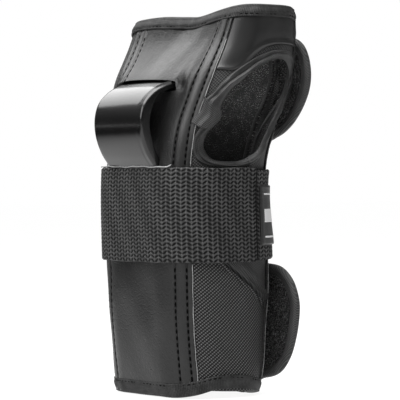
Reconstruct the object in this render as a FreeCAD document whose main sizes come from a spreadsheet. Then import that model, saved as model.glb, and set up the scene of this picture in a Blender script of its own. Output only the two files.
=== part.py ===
import FreeCAD, Part
import math
import os
import Sketcher
from FreeCAD import Placement, Rotation, Vector

# Padded wrist guard for the right hand, standing on its forearm end.
# +Z runs from the forearm to the fingers, the palm faces -Y and the thumb is on +X.
# The wall is a stack of layers round the arm.  Every layer lies between two lofts that
# are taken through the same rounded sections, each at its own depth below the outside.

os.makedirs("parts", exist_ok=True)
doc = FreeCAD.newDocument("WristGuard")
sheet = doc.addObject("Spreadsheet::Sheet", "Sizes")

# Outside sections of the wall: height, half width, palm face, back face, corner radius.
SECTION_WORDS = ("height", "half_width", "palm", "back", "radius")
SECTIONS = {
    "base": (0, 40, -29, 29, 24),
    "forearm": (36, 42.3, -32.7, 32.7, 26),
    "cuff": (71, 43, -34.7, 34.5, 27),
    "wrist": (122, 43.5, -35, 32.5, 27),
    "heel": (145, 46.5, -31, 37.4, 27),
    "thumb": (167, 49.5, -24, 44, 24),
    "knuckle": (190, 50, -10, 43, 16),
    "rim": (214, 50, 0, 42, 12),
}
# Depths below the outside of the wall; negative ones stand proud of it.
DEPTHS = {
    "label_outside": -3.6, "label_inside": -3.2, "strap_outside": -3.0,
    "closure_inside": -2.0, "hook_outside": -1.8, "strap_inside": -1.2,
    "binding_outside": -0.9, "wall_clear_outside": -0.2,
    "skin_outside": 0, "skin_inside": 1.0, "foam_outside": 1.2, "foam_inside": 5.8,
    "lining_outside": 6.0, "lining_inside": 6.8,
    "wall_clear_inside": 7.0, "binding_inside": 7.7,
}
# The opening down the back: edge next to the little finger side, edge next to the thumb.
SLIT = {
    "base": (18, 30), "forearm": (18, 30), "cuff": (18, 30), "wrist": (18.5, 30),
    "heel": (21.5, 33), "thumb": (27, 40), "knuckle": (28, 40.5), "rim": (28, 40.5),
}
# Half widths at which the palm leather meets the little finger side and the thumb side.
PALM_SEAMS = {
    "base": (33, 35.4), "forearm": (33, 36.2), "cuff": (33, 36.8), "wrist": (32.5, 36.5),
    "heel": (30, 38.3), "thumb": (27.5, 42.4), "knuckle": (30.3, 42.8), "rim": (31.5, 42.7),
}
# How far each trimmed outline stands in from the finished rim and foot of the guard.
INSETS = {"edge": 0, "wall_inset": 1.2, "binding_reach": 6.4, "side_binding_inset": 6.7}
# Rim heights across the hand (X, height) and from palm to back (Y, height).
RIM_ACROSS = ((-60, 196.5), (-40, 199.5), (-20, 202), (20, 203), (36, 206.5), (46, 210), (60, 210.5))
RIM_DEEP = ((-60, 213), (22, 212), (31, 209.5), (45, 204.5), (60, 200))
# Low arch in the foot below the thumb (Y, height).
ARCH = ((-27, -6), (-23, 0.6), (-14, 3.6), (-6, 4.2), (8, 3.6), (22, 1.2), (27, -6))
# Thumb hole seen from the thumb side (Y, height).
THUMB_HOLE = ((11, 184), (28, 181.5), (30, 166), (6, 129), (2, 123.5), (-12, 122.6),
              (-21.5, 129), (-19, 140), (-13.5, 147), (-12.5, 160))
# Middle line of the palm blade (Y, height), foot to tip.
PALM_BLADE = ((-27.1, 13), (-28.3, 24), (-29.4, 36), (-30.2, 48), (-30.9, 60), (-31.4, 71),
              (-31.6, 85), (-31.9, 98), (-33.2, 112), (-35.9, 122),
              (-41, 131), (-44.8, 140), (-45.2, 149), (-40.8, 157.5), (-32.5, 163),
              (-24.6, 167.2), (-18, 172.4), (-12.2, 180), (-5.9, 192))
# Middle line of the back blade (Y, height).
BACK_BLADE = ((27.3, 18), (29.7, 48), (31.0, 71), (29.5, 108), (29.2, 122), (33.3, 143), (37.9, 158))
# Outlines of the two closing tabs: distance from the hinge, height.
HAND_TAB = ((0, 193), (10, 192.6), (18, 187), (21.5, 178), (21.5, 165), (12, 150), (0, 140))
FOREARM_TAB = ((0, 70.5), (18, 68.6), (29.5, 58), (33, 46), (31.5, 33), (24.5, 19), (14, 10.5), (0, 8))

SIZES = {
    # Half width at which the back panel meets the little finger side, and half the seam gap.
    "back_seam": 36, "seam_gap": 0.1,
    # Height where the upper and lower thumb side panels meet, under the strap.
    "panel_join": 110, "panel_gap": 0.2,
    # Diagonal seam of the soft gusset beside the opening.
    "gusset_palm_y": -7, "gusset_palm_height": 71, "gusset_back_y": 30, "gusset_back_height": 27,
    # Bound edges: cloth thickness over the wall edge and how far the binding reaches.
    "edge_cloth": 1.2, "side_binding_reach": 5.4, "hole_cloth": 1.2, "hole_binding_reach": 4.0,
    # Wrist strap.
    "strap_low": 71.5, "strap_high": 121.5, "strap_anchor_x": -24,
    "corner_x": 16.4, "corner_y": 6.5, "strap_root_x": 85.8, "strap_root_y": 16.2,
    "closure_root_x": 85.4, "closure_root_y": 18.9, "closure_end_x": -20,
    "closure_low": 72.5, "closure_high": 120.5,
    "hook_left": -18, "hook_right": 12, "hook_low": 76, "hook_high": 117,
    "loop_left": -22.5, "loop_right": 11.5, "loop_low": 74, "loop_high": 119,
    "label_root_x": 84.0, "label_root_y": 25.0, "label_end_x": 27, "label_low": 80.5, "label_high": 112,
    # Blades: half width, half thickness and the slack round them in the foam.
    "palm_blade_half": 21.3, "palm_blade_thick": 1.4, "blade_slack": 0.3, "blade_round": 0.9,
    "back_blade_half": 11.5, "back_blade_thick": 1.0, "back_blade_x": -7.5, "blade_end_slack": 0.6,
    # Tabs: where each hinge line meets the ground, its lean along X and Y for each step up,
    # half thickness of each layer, and insets from the outline.
    "hand_hinge_x": 8.6, "hand_hinge_y": 27.9, "hand_lean_x": 0.111, "hand_lean_y": 0.083, "hand_turn": 12,
    "forearm_hinge_x": 20.5, "forearm_hinge_y": 30.3, "forearm_lean_x": 0, "forearm_lean_y": 0.059,
    "forearm_turn": 3,
    "tab_half": 2.2, "tab_core_half": 1.5, "tab_pad_out": 0.35, "tab_pad_in": 1.3,
    "tab_face_in": 0.55, "tab_face_out": 1.3, "tab_hook_low": 1.5, "tab_hook_high": 2.3,
    "tab_edge_cloth": 1.2, "tab_pad_inset": 1.4, "tab_binding_reach": 4.6, "tab_hook_inset": 5.6,
    "tab_root_start": 2.8, "tab_corner": 5,
    # Shift that puts the middle of the whole guard over the origin.
    "centre_x": 1.295, "centre_y": 1.04,
}

row = 0


def write_size(alias, value):
    """Put one named size in the sheet."""
    global row
    row += 1
    sheet.set(f"A{row}", alias)
    sheet.set(f"B{row}", str(value))
    sheet.setAlias(f"B{row}", alias)


class Length:
    """A length known both as a number and as the sheet formula it comes from."""

    def __init__(self, value, formula):
        self.value = value
        self.formula = formula

    def __add__(self, other):
        return Length(self.value + other.value, f"({self.formula} + {other.formula})")

    def __sub__(self, other):
        return Length(self.value - other.value, f"({self.formula} - {other.formula})")

    def __mul__(self, other):
        return Length(self.value * other.value, f"({self.formula} * {other.formula})")

    def __truediv__(self, other):
        return Length(self.value / other.value, f"({self.formula} / {other.formula})")

    def __neg__(self):
        return Length(-self.value, f"(0 - {self.formula})")


def size(alias):
    return Length(float(sheet.get(alias)), f"Sizes.{alias}")


def fixed(number):
    return Length(number, f"{number}" if number >= 0 else f"(0 - {-number})")


def square_root(length):
    return Length(math.sqrt(length.value), f"sqrt({length.formula})")


for section_name, numbers in SECTIONS.items():
    for word, number in zip(SECTION_WORDS, numbers):
        write_size(f"{section_name}_{word}", number)
for section_name, (little_side, thumb_side) in SLIT.items():
    write_size(f"{section_name}_slit_little", little_side)
    write_size(f"{section_name}_slit_thumb", thumb_side)
for section_name, (little_side, thumb_side) in PALM_SEAMS.items():
    write_size(f"{section_name}_seam_little", little_side)
    write_size(f"{section_name}_seam_thumb", thumb_side)
for table_name, points in (("rim_across", RIM_ACROSS), ("rim_deep", RIM_DEEP), ("arch", ARCH),
                           ("hole", THUMB_HOLE), ("palm_blade", PALM_BLADE),
                           ("back_blade", BACK_BLADE), ("hand_tab", HAND_TAB),
                           ("forearm_tab", FOREARM_TAB)):
    for number, (along, height) in enumerate(points):
        write_size(f"{table_name}_{number}_along", along)
        write_size(f"{table_name}_{number}_height", height)
for table in (DEPTHS, INSETS, SIZES):
    for alias, value in table.items():
        write_size(alias, value)
doc.recompute()

ORIGIN = -1
START = 1
END = 2
FLAT = Rotation()
FROM_SIDE = Rotation(Vector(0, 1, 0), Vector(0, 0, 1), Vector(1, 0, 0), "XYZ")
FROM_FRONT = Rotation(Vector(1, 0, 0), Vector(0, 0, 1), Vector(0, -1, 0), "XYZ")


def place(thing, rotation, x, y, z):
    """Stand an object in its plane, with its position tied to the sheet."""
    thing.Placement = Placement(Vector(x.value, y.value, z.value), rotation)
    for axis, length in (("x", x), ("y", y), ("z", z)):
        thing.setExpression(f"Placement.Base.{axis}", length.formula)


def constrain(sketch, name, length, *arguments):
    number = sketch.addConstraint(Sketcher.Constraint(*arguments, length.value))
    sketch.renameConstraint(number, name)
    sketch.setExpression(f"Constraints.{name}", length.formula)


def polygon(label, corners):
    """Closed outline of straight lines; every corner is tied to the sheet."""
    sketch = doc.addObject("Sketcher::SketchObject", label)
    spots = [Vector(along.value, up.value, 0) for along, up in corners]
    count = len(spots)
    lines = [Part.LineSegment(spots[k], spots[(k + 1) % count]) for k in range(count)]
    sketch.addGeometry(lines, False)
    for k in range(count):
        sketch.addConstraint(Sketcher.Constraint("Coincident", k, END, (k + 1) % count, START))
    for k, (along, up) in enumerate(corners):
        constrain(sketch, f"along_{k}", along, "DistanceX", ORIGIN, START, k, START)
        constrain(sketch, f"up_{k}", up, "DistanceY", ORIGIN, START, k, START)
    return sketch


def rounded_rectangle(label, half_width, low, high, radius):
    """Rectangle with four equal round corners, even about its upright axis."""
    sketch = doc.addObject("Sketcher::SketchObject", label)
    a, p, b, r = half_width.value, low.value, high.value, radius.value
    centres = ((a - r, p + r), (a - r, b - r), (-a + r, b - r), (-a + r, p + r))

    def corner(number):
        circle = Part.Circle(Vector(*centres[number], 0), Vector(0, 0, 1), r)
        first = math.radians(90 * number - 90)
        return Part.ArcOfCircle(circle, first, first + math.pi / 2)

    def line(x1, y1, x2, y2):
        return Part.LineSegment(Vector(x1, y1, 0), Vector(x2, y2, 0))

    sketch.addGeometry([
        line(-a + r, p, a - r, p), corner(0), line(a, p + r, a, b - r), corner(1),
        line(a - r, b, -a + r, b), corner(2), line(-a, b - r, -a, p + r), corner(3)], False)
    for k in range(8):
        sketch.addConstraint(Sketcher.Constraint("Tangent", k, END, (k + 1) % 8, START))
    for k in (0, 4):
        sketch.addConstraint(Sketcher.Constraint("Horizontal", k))
    for k in (2, 6):
        sketch.addConstraint(Sketcher.Constraint("Vertical", k))
    for k in (3, 5, 7):
        sketch.addConstraint(Sketcher.Constraint("Equal", 1, k))
    constrain(sketch, "thumb_side", half_width, "DistanceX", ORIGIN, START, 2, START)
    constrain(sketch, "little_side", half_width, "DistanceX", 6, START, ORIGIN, START)
    constrain(sketch, "low_side", low, "DistanceY", ORIGIN, START, 0, START)
    constrain(sketch, "high_side", high, "DistanceY", ORIGIN, START, 4, START)
    constrain(sketch, "radius", radius, "Radius", 1)
    return sketch


def loft(label, sketches, straight):
    thing = doc.addObject("Part::Loft", label)
    thing.Sections = sketches
    thing.Solid = True
    thing.Ruled = straight
    return thing


def cut(label, base, tool):
    thing = doc.addObject("Part::Cut", label)
    thing.Base = base
    thing.Tool = tool
    return thing


def common(label, base, tool):
    thing = doc.addObject("Part::Common", label)
    thing.Base = base
    thing.Tool = tool
    return thing


def extrude(label, profile, direction, length, centred=False):
    thing = doc.addObject("Part::Extrusion", label)
    thing.Base = profile
    thing.DirMode = "Custom"
    thing.Dir = direction
    thing.LengthFwd = length
    thing.Solid = True
    thing.Symmetric = centred
    return thing


def offset_outline(label, sketch, distance, inwards=False):
    thing = doc.addObject("Part::Offset2D", label)
    thing.Source = sketch
    thing.Join = "Arc"
    thing.setExpression("Value", (-distance if inwards else distance).formula)
    thing.Value = -distance.value if inwards else distance.value
    return thing


# --- the layers of the wall -----------------------------------------------------------
made = {}


def shell_solid(depth, names=tuple(SECTIONS)):
    """Everything inside the wall surface at one depth."""
    key = (depth, names)
    if key not in made:
        sketches = []
        for name in names:
            below = size(depth)
            sketch = rounded_rectangle(
                f"{name}_{depth}_{len(names)}", size(f"{name}_half_width") - below,
                size(f"{name}_palm") + below, size(f"{name}_back") - below,
                size(f"{name}_radius") - below)
            place(sketch, FLAT, fixed(0), fixed(0), size(f"{name}_height"))
            sketches.append(sketch)
        made[key] = loft(f"inside_{depth}_{len(names)}", sketches, True)
    return made[key]


def layer(outer, inner, names=tuple(SECTIONS)):
    key = (outer, inner, names)
    if key not in made:
        made[key] = cut(f"layer_{outer}_to_{inner}", shell_solid(outer, names),
                        shell_solid(inner, names))
    return made[key]


def trimmed_outline(inset):
    """Everything between the foot and the rim, held in from both by one inset."""
    if inset in made:
        return made[inset]
    down = size(inset)
    across = [(size(f"rim_across_{k}_along"), size(f"rim_across_{k}_height") - down)
              for k in range(len(RIM_ACROSS))]
    across += [(across[-1][0], down), (across[0][0], down)]
    front = polygon(f"rim_across_{inset}", across)
    place(front, FROM_FRONT, fixed(0), fixed(90), fixed(0))
    deep = [(size(f"rim_deep_{k}_along"), size(f"rim_deep_{k}_height") - down)
            for k in range(len(RIM_DEEP))]
    deep += [(deep[-1][0], fixed(-20)), (deep[0][0], fixed(-20))]
    side = polygon(f"rim_deep_{inset}", deep)
    place(side, FROM_SIDE, fixed(-90), fixed(0), fixed(0))
    arch = polygon(f"arch_{inset}", [
        (size(f"arch_{k}_along"), size(f"arch_{k}_height") + down) for k in range(len(ARCH))])
    place(arch, FROM_SIDE, fixed(12), fixed(0), fixed(0))
    both = common(f"outline_{inset}", extrude(f"front_{inset}", front, Vector(0, -1, 0), 180),
                  extrude(f"side_{inset}", side, Vector(1, 0, 0), 180))
    made[inset] = cut(f"trim_{inset}", both, extrude(f"arch_cut_{inset}", arch, Vector(1, 0, 0), 80))
    return made[inset]


def between(label, low_x, high_x, from_corner=fixed(1)):
    """Upright slab on the back of the guard, between two lines that follow the opening."""
    sketches = []
    reach = fixed(90)
    for name in SECTIONS:
        left, right = low_x(name), high_x(name)
        start = size(f"{name}_back") - size(f"{name}_radius") * from_corner
        sketch = polygon(f"{label}_{name}", [(left, start), (right, start), (right, reach), (left, reach)])
        height = size(f"{name}_height")
        if name == "base":
            height = height - fixed(6)
        place(sketch, FLAT, fixed(0), fixed(0), height)
        sketches.append(sketch)
    return loft(label, sketches, True)


def seam_zone(label, side, gap):
    """Everything outside the corner seams on one side: the palm or the back."""
    sketches = []
    reach = fixed(70)
    for name in SECTIONS:
        radius = size(f"{name}_radius")
        centre_x = size(f"{name}_half_width") - radius

        def ray(seam):
            """How far a line from the corner's centre through a seam gets, sideways and out."""
            sine = (seam + gap - centre_x) / radius
            return centre_x + reach * sine, reach * square_root(fixed(1) - sine * sine)

        if side == "palm":
            centre_y = size(f"{name}_palm") + radius
            little_x, little_y = ray(size(f"{name}_seam_little"))
            thumb_x, thumb_y = ray(size(f"{name}_seam_thumb"))
            far = fixed(-130)
            corners = [(-centre_x, centre_y), (-little_x, centre_y - little_y), (-little_x, far),
                       (thumb_x, far), (thumb_x, centre_y - thumb_y), (centre_x, centre_y)]
        else:
            centre_y = size(f"{name}_back") - radius
            little_x, little_y = ray(size("back_seam"))
            far = fixed(150)
            middle = (size(f"{name}_slit_little") + size(f"{name}_slit_thumb")) * fixed(0.5)
            corners = [(-centre_x, centre_y), (middle, centre_y), (middle, far),
                       (-little_x, far), (-little_x, centre_y + little_y)]
        sketch = polygon(f"{label}_{name}", corners)
        height = size(f"{name}_height")
        if name == "base":
            height = height - fixed(2)
        place(sketch, FLAT, fixed(0), fixed(0), height)
        sketches.append(sketch)
    return loft(label, sketches, True)


def box(label, x, y, z):
    """Block between pairs of sizes along X, Y and Z."""
    thing = doc.addObject("Part::Box", label)
    for name, (low, high) in (("Length", x), ("Width", y), ("Height", z)):
        setattr(thing, name, (high - low).value)
        thing.setExpression(name, (high - low).formula)
    place(thing, FLAT, x[0], y[0], z[0])
    return thing


WIDE = (fixed(-120), fixed(120))
slit = between("slit", lambda name: size(f"{name}_slit_little"), lambda name: size(f"{name}_slit_thumb"))

hole_sketch = polygon("thumb_hole_outline", [
    (size(f"hole_{k}_along"), size(f"hole_{k}_height")) for k in range(len(THUMB_HOLE))])
place(hole_sketch, FROM_SIDE, fixed(14), fixed(0), fixed(0))
hole_round = offset_outline("thumb_hole_shrunk", hole_sketch, fixed(4), inwards=True)
hole_edge = offset_outline("thumb_hole_edge", hole_round, fixed(4))
hole_wall = offset_outline("thumb_hole_wall", hole_round, size("hole_cloth") + fixed(4))
hole_reach = offset_outline("thumb_hole_reach", hole_round, size("hole_binding_reach") + fixed(4))
hole_cut = extrude("thumb_hole_cut", hole_edge, Vector(1, 0, 0), 70)
hole_wall_cut = extrude("thumb_hole_wall_cut", hole_wall, Vector(1, 0, 0), 70)
hole_reach_block = extrude("thumb_hole_reach_block", hole_reach, Vector(1, 0, 0), 70)

palm_zone = seam_zone("palm_zone", "palm", -size("seam_gap"))
palm_zone_clear = seam_zone("palm_zone_clear", "palm", size("seam_gap"))
back_zone = seam_zone("back_zone", "back", -size("seam_gap"))
back_zone_clear = seam_zone("back_zone_clear", "back", size("seam_gap"))
little_half = box("little_half", (fixed(-120), fixed(0)), WIDE, (fixed(-10), fixed(230)))
thumb_half = box("thumb_half", (fixed(0), fixed(120)), WIDE, (fixed(-10), fixed(230)))


# --- blades ---------------------------------------------------------------------------
def blade(label, table, count, half_width, half_thick, x, end_slack=None, straight=False):
    """Blade lofted along its middle line, square to the line at every station.

    With end slack it is the square-edged pocket that the blade lies in.  Straight means that
    the sides run straight from one station to the next.
    """
    stations = [(size(f"{table}_{k}_along"), size(f"{table}_{k}_height")) for k in range(count)]
    sketches = []
    for k, (y, z) in enumerate(stations):
        before = stations[max(k - 1, 0)]
        after = stations[min(k + 1, count - 1)]
        line = Vector(0, after[0].value - before[0].value, after[1].value - before[1].value)
        line.normalize()
        if end_slack:
            sketch = polygon(f"{label}_{k}", [
                (-half_width, -half_thick), (half_width, -half_thick),
                (half_width, half_thick), (-half_width, half_thick)])
            if k == 0:
                z = z - end_slack
            if k == count - 1:
                z = z + end_slack
        else:
            sketch = rounded_rectangle(
                f"{label}_{k}", half_width, -half_thick, half_thick, size("blade_round"))
        turn = Rotation(Vector(1, 0, 0), Vector(0, line.z, -line.y), line, "XYZ")
        place(sketch, turn, x, y, z)
        sketches.append(sketch)
    return loft(label, sketches, straight or end_slack is not None)


none = fixed(0)
palm_blade_sizes = (size("palm_blade_half"), size("palm_blade_thick"))
back_blade_sizes = (size("back_blade_half"), size("back_blade_thick"))
slack = size("blade_slack")
palm_splint = blade("palm_splint", "palm_blade", len(PALM_BLADE), *palm_blade_sizes, none)
palm_pocket = blade("palm_pocket", "palm_blade", len(PALM_BLADE), palm_blade_sizes[0] + slack,
                    palm_blade_sizes[1] + slack, none, size("blade_end_slack"))
dorsal_splint = blade("dorsal_splint", "back_blade", len(BACK_BLADE), *back_blade_sizes,
                      size("back_blade_x"), straight=True)
dorsal_pocket = blade("dorsal_pocket", "back_blade", len(BACK_BLADE), back_blade_sizes[0] + slack,
                      back_blade_sizes[1] + slack, size("back_blade_x"), size("blade_end_slack"))


# --- wall pieces ----------------------------------------------------------------------
def wall(label, outer, inner):
    """One layer, trimmed at rim and foot, opened down the back and at the thumb."""
    shape = common(f"{label}_trimmed", layer(outer, inner), trimmed_outline("wall_inset"))
    return cut(label, cut(f"{label}_opened", shape, slit_wall), hole_wall_cut)


cloth = size("edge_cloth")
slit_wall = between("slit_wall", lambda name: size(f"{name}_slit_little") - cloth,
                    lambda name: size(f"{name}_slit_thumb") + cloth)

skin = wall("skin", "skin_outside", "skin_inside")
foam = wall("foam", "foam_outside", "foam_inside")
inner_lining = wall("inner_lining", "lining_outside", "lining_inside")


def around(label, shell):
    """Little finger side and thumb side of a shell, between its palm and back pieces."""
    rest = cut(f"{label}_sides", cut(f"{label}_no_palm", shell, palm_zone_clear), back_zone_clear)
    return common(f"{label}_little", rest, little_half), common(f"{label}_thumb", rest, thumb_half)


palm_leather_panel = cut("palm_leather_panel", common("skin_palm", skin, palm_zone), palm_pocket)
dorsal_panel = common("dorsal_panel", skin, back_zone)
ulnar_panel, skin_thumb = around("skin_around", skin)

half_gap = size("panel_gap") * fixed(0.5)
join = size("panel_join")
upper_block = box("upper_block", WIDE, WIDE, (join + half_gap, fixed(230)))
lower_block = box("lower_block", WIDE, WIDE, (fixed(-10), join - half_gap))
thumb_side_upper_panel = common("thumb_side_upper_panel", skin_thumb, upper_block)
skin_thumb_lower = common("skin_thumb_lower", skin_thumb, lower_block)


def gusset_block(label, shift):
    """Everything on the back side of the diagonal gusset seam."""
    palm_y, palm_z = size("gusset_palm_y"), size("gusset_palm_height") + shift
    back_y, back_z = size("gusset_back_y"), size("gusset_back_height") + shift
    beyond_y = back_y + (back_y - palm_y)
    beyond_z = back_z + (back_z - palm_z)
    sketch = polygon(f"{label}_outline", [
        (palm_y, palm_z), (beyond_y, beyond_z), (beyond_y, fixed(150)), (palm_y, fixed(150))])
    place(sketch, FROM_SIDE, fixed(1), fixed(0), fixed(0))
    return extrude(label, sketch, Vector(1, 0, 0), 90)


gusset_panel = common("gusset_panel", skin_thumb_lower, gusset_block("gusset_block", half_gap))
thumb_side_lower_panel = cut("thumb_side_lower_panel", skin_thumb_lower,
                             gusset_block("gusset_block_clear", -half_gap))

palm_foam = cut("palm_foam", common("foam_palm", foam, palm_zone), palm_pocket)
dorsal_foam = cut("dorsal_foam", common("foam_back", foam, back_zone), dorsal_pocket)
ulnar_foam, thumb_side_foam = around("foam_around", foam)


# --- bindings -------------------------------------------------------------------------
binding_stock = layer("binding_outside", "binding_inside")
wall_clear = layer("wall_clear_outside", "wall_clear_inside")
end_stock = cut("end_binding_stock", common("end_binding_band", binding_stock, trimmed_outline("edge")),
                trimmed_outline("binding_reach"))
end_bindings = cut("end_bindings", cut("end_bindings_hollow", end_stock, common(
    "end_binding_core", wall_clear, trimmed_outline("wall_inset"))), slit)
top_binding = common("top_binding", end_bindings, box(
    "top_region", WIDE, WIDE, (fixed(150), fixed(230))))
bottom_binding = common("bottom_binding", end_bindings, box(
    "bottom_region", WIDE, WIDE, (fixed(-10), fixed(40))))


def side_binding(label, edge, direction):
    """Folded binding over one long edge of the opening."""
    reach = size("side_binding_reach")

    def at(name, distance):
        line = size(f"{name}_slit_{edge}")
        return line + distance if direction > 0 else line - distance

    def strip(name, start, end):
        ends = (lambda section: at(section, start)), (lambda section: at(section, end))
        if direction < 0:
            ends = ends[1], ends[0]
        return between(f"{label}_{name}", *ends, from_corner=fixed(0.8))

    stock = common(f"{label}_stock", binding_stock, strip("strip", none, reach))
    core = common(f"{label}_core", wall_clear, strip("core_strip", cloth, reach + fixed(5)))
    return common(label, cut(f"{label}_hollow", stock, core), trimmed_outline("side_binding_inset"))


near_edge_binding = cut(
    "near_edge_binding", side_binding("near_edge_folded", "thumb", 1), hole_reach_block)
far_edge_binding = side_binding("far_edge_binding", "little", -1)
hole_stock = cut("hole_binding_stock", common("hole_binding_block", binding_stock, hole_reach_block), hole_cut)
hole_core = cut("hole_binding_core", wall_clear, hole_wall_cut)
thumb_hole_binding = common("thumb_hole_binding", cut("hole_binding_hollow", hole_stock, hole_core), thumb_half)


# --- wrist strap ----------------------------------------------------------------------
STRAP = ("cuff", "wrist")


def band(label, outer, inner, low, high, region):
    """Part of a layer round the wrist between two heights."""
    height = (size(low), size(high))
    slab = box(f"{label}_slab", WIDE, WIDE, height)
    return common(label, common(f"{label}_ring", layer(outer, inner, STRAP), slab), region)


def back_wedge(label, root, end):
    """Region on the back, from a line out of the thumb side corner to an upright line."""
    centre = (size("corner_x"), size("corner_y"))
    root_x, root_y = size(f"{root}_x"), size(f"{root}_y")
    far = fixed(130)
    sketch = polygon(f"{label}_outline", [
        centre, (root_x, root_y), (root_x, far), (size(end), far), (size(end), centre[1])])
    place(sketch, FLAT, fixed(0), fixed(0), fixed(60))
    return extrude(label, sketch, Vector(0, 0, 1), 80)


def back_window(label, left, right):
    return box(label, (size(left), size(right)), (fixed(5), fixed(80)), (fixed(60), fixed(140)))


strap_slab = box("strap_slab", WIDE, WIDE, (size("strap_low"), size("strap_high")))
strap_ring = common("strap_ring", layer("strap_outside", "strap_inside", STRAP), strap_slab)
strap_cut = cut("strap_cut", strap_ring, back_wedge("closure_gap", "strap_root", "strap_anchor_x"))
wrist_strap = cut("wrist_strap", strap_cut, palm_pocket)
strap_end = band("strap_end", "strap_outside", "closure_inside", "closure_low", "closure_high",
                 back_wedge("closure_region", "closure_root", "closure_end_x"))
strap_hook_patch = band("strap_hook_patch", "hook_outside", "strap_inside", "hook_low", "hook_high",
                        back_window("hook_window", "hook_left", "hook_right"))
strap_loop_patch = band("strap_loop_patch", "binding_outside", "wall_clear_outside", "loop_low",
                        "loop_high", back_window("loop_window", "loop_left", "loop_right"))
woven_label = band("woven_label", "label_outside", "label_inside", "label_low", "label_high",
                   back_wedge("label_region", "label_root", "label_end_x"))


# --- closing tabs ---------------------------------------------------------------------
def tab(name, count):
    """Closing tab: outer face, soft pad, hook patch and the binding folded round its edge."""
    turn = math.radians(size(f"{name}_turn").value)
    up = Vector(size(f"{name}_lean_x").value, size(f"{name}_lean_y").value, 1).normalize()
    inner_side = Vector(math.cos(turn), math.sin(turn), 0).cross(up).normalize()
    out = up.cross(inner_side)
    frame = Rotation(out, up, inner_side, "XYZ")
    hinge = (size(f"{name}_hinge_x"), size(f"{name}_hinge_y"))
    outline = polygon(f"{name}_tab_outline", [
        (size(f"{name}_tab_{k}_along"), size(f"{name}_tab_{k}_height")) for k in range(count)])
    place(outline, frame, hinge[0], hinge[1], fixed(0))
    corner = size("tab_corner")
    shrunk = offset_outline(f"{name}_tab_shrunk", outline, corner, inwards=True)

    def sheet_between(label, inset, low, high):
        face = offset_outline(f"{label}_face", shrunk, corner - size(inset) if inset else corner)
        block = extrude(f"{label}_block", face, inner_side, 1)
        block.setExpression("LengthFwd", high.formula)
        block.setExpression("LengthRev", (-low).formula)
        return block

    half = size("tab_half")
    core = size("tab_core_half")
    low_z = size(f"{name}_tab_{count - 1}_height") - fixed(5)
    high_z = size(f"{name}_tab_0_height") + fixed(5)

    def beyond(label, start):
        region = doc.addObject("Part::Box", label)
        region.Length, region.Width, region.Height = 60, 200, 40
        start_at = size(start).value
        shift = Vector(hinge[0].value, hinge[1].value, 0) + out * start_at - inner_side * 20
        region.Placement = Placement(shift, frame)
        return region

    root = beyond(f"{name}_tab_beyond_root", "tab_root_start")
    root.Width = high_z.value + 20
    pad_body = sheet_between(f"{name}_pad", "tab_pad_inset", -size("tab_pad_out"), size("tab_pad_in"))
    pad = common(f"{name}_tab_pad", pad_body, root)
    face_body = sheet_between(f"{name}_cover", "tab_pad_inset", -size("tab_face_out"), -size("tab_face_in"))
    cover = common(f"{name}_tab_cover", face_body, root)
    patch_body = sheet_between(f"{name}_patch", "tab_hook_inset", size("tab_hook_low"), size("tab_hook_high"))
    patch = common(f"{name}_tab_hook_patch", patch_body, root)
    edge = sheet_between(f"{name}_edge", None, -half, half)
    middle = sheet_between(f"{name}_middle", "tab_binding_reach", -(half + fixed(1)), half + fixed(1))
    slot_block = sheet_between(f"{name}_slot", "tab_edge_cloth", -core, core)
    frame_ring = cut(f"{name}_ring_slotted", cut(f"{name}_ring", edge, middle), slot_block)
    binding = common(f"{name}_tab_binding", frame_ring, root)
    return pad, cover, patch, binding


hand_tab_pieces = tab("hand", len(HAND_TAB))
forearm_tab_pieces = tab("forearm", len(FOREARM_TAB))

nodes = [
    palm_leather_panel, thumb_side_upper_panel, thumb_side_lower_panel, gusset_panel,
    dorsal_panel, palm_splint, dorsal_splint, palm_foam, thumb_side_foam, dorsal_foam,
    inner_lining, top_binding, bottom_binding, near_edge_binding, far_edge_binding,
    thumb_hole_binding, wrist_strap, strap_end, strap_hook_patch, strap_loop_patch, woven_label,
    *hand_tab_pieces, *forearm_tab_pieces]
ulnar_panel.Label = "ulnar_panel"
ulnar_foam.Label = "ulnar_foam"
thumb_side_foam.Label = "thumb_side_foam"
nodes += [ulnar_panel, ulnar_foam]
for node in nodes:
    node.setExpression("Placement.Base.x", (-size("centre_x")).formula)
    node.setExpression("Placement.Base.y", (-size("centre_y")).formula)
doc.recompute()

bad = [thing.Label for thing in doc.Objects if {"Invalid", "Error"} & set(thing.State)]
for node in nodes:
    if node.Shape.isNull() or not node.Shape.isValid() or not node.Shape.Solids:
        bad.append(node.Label)
if bad:
    raise RuntimeError(f"these objects did not build: {bad}")
whole = FreeCAD.BoundBox()
for node in nodes:
    node.Shape.exportStep(os.path.join("parts", f"{node.Label}.step"))
    reach = node.Shape.optimalBoundingBox(False)
    whole.add(reach)
    print(f"{node.Label:28s} solids {len(node.Shape.Solids)} faces {len(node.Shape.Faces):3d} "
          f"volume {node.Shape.Volume:9.1f} x {reach.XMin:7.2f} {reach.XMax:7.2f} "
          f"y {reach.YMin:7.2f} {reach.YMax:7.2f} z {reach.ZMin:7.2f} {reach.ZMax:7.2f}")
print(f"whole guard {whole}")
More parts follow.
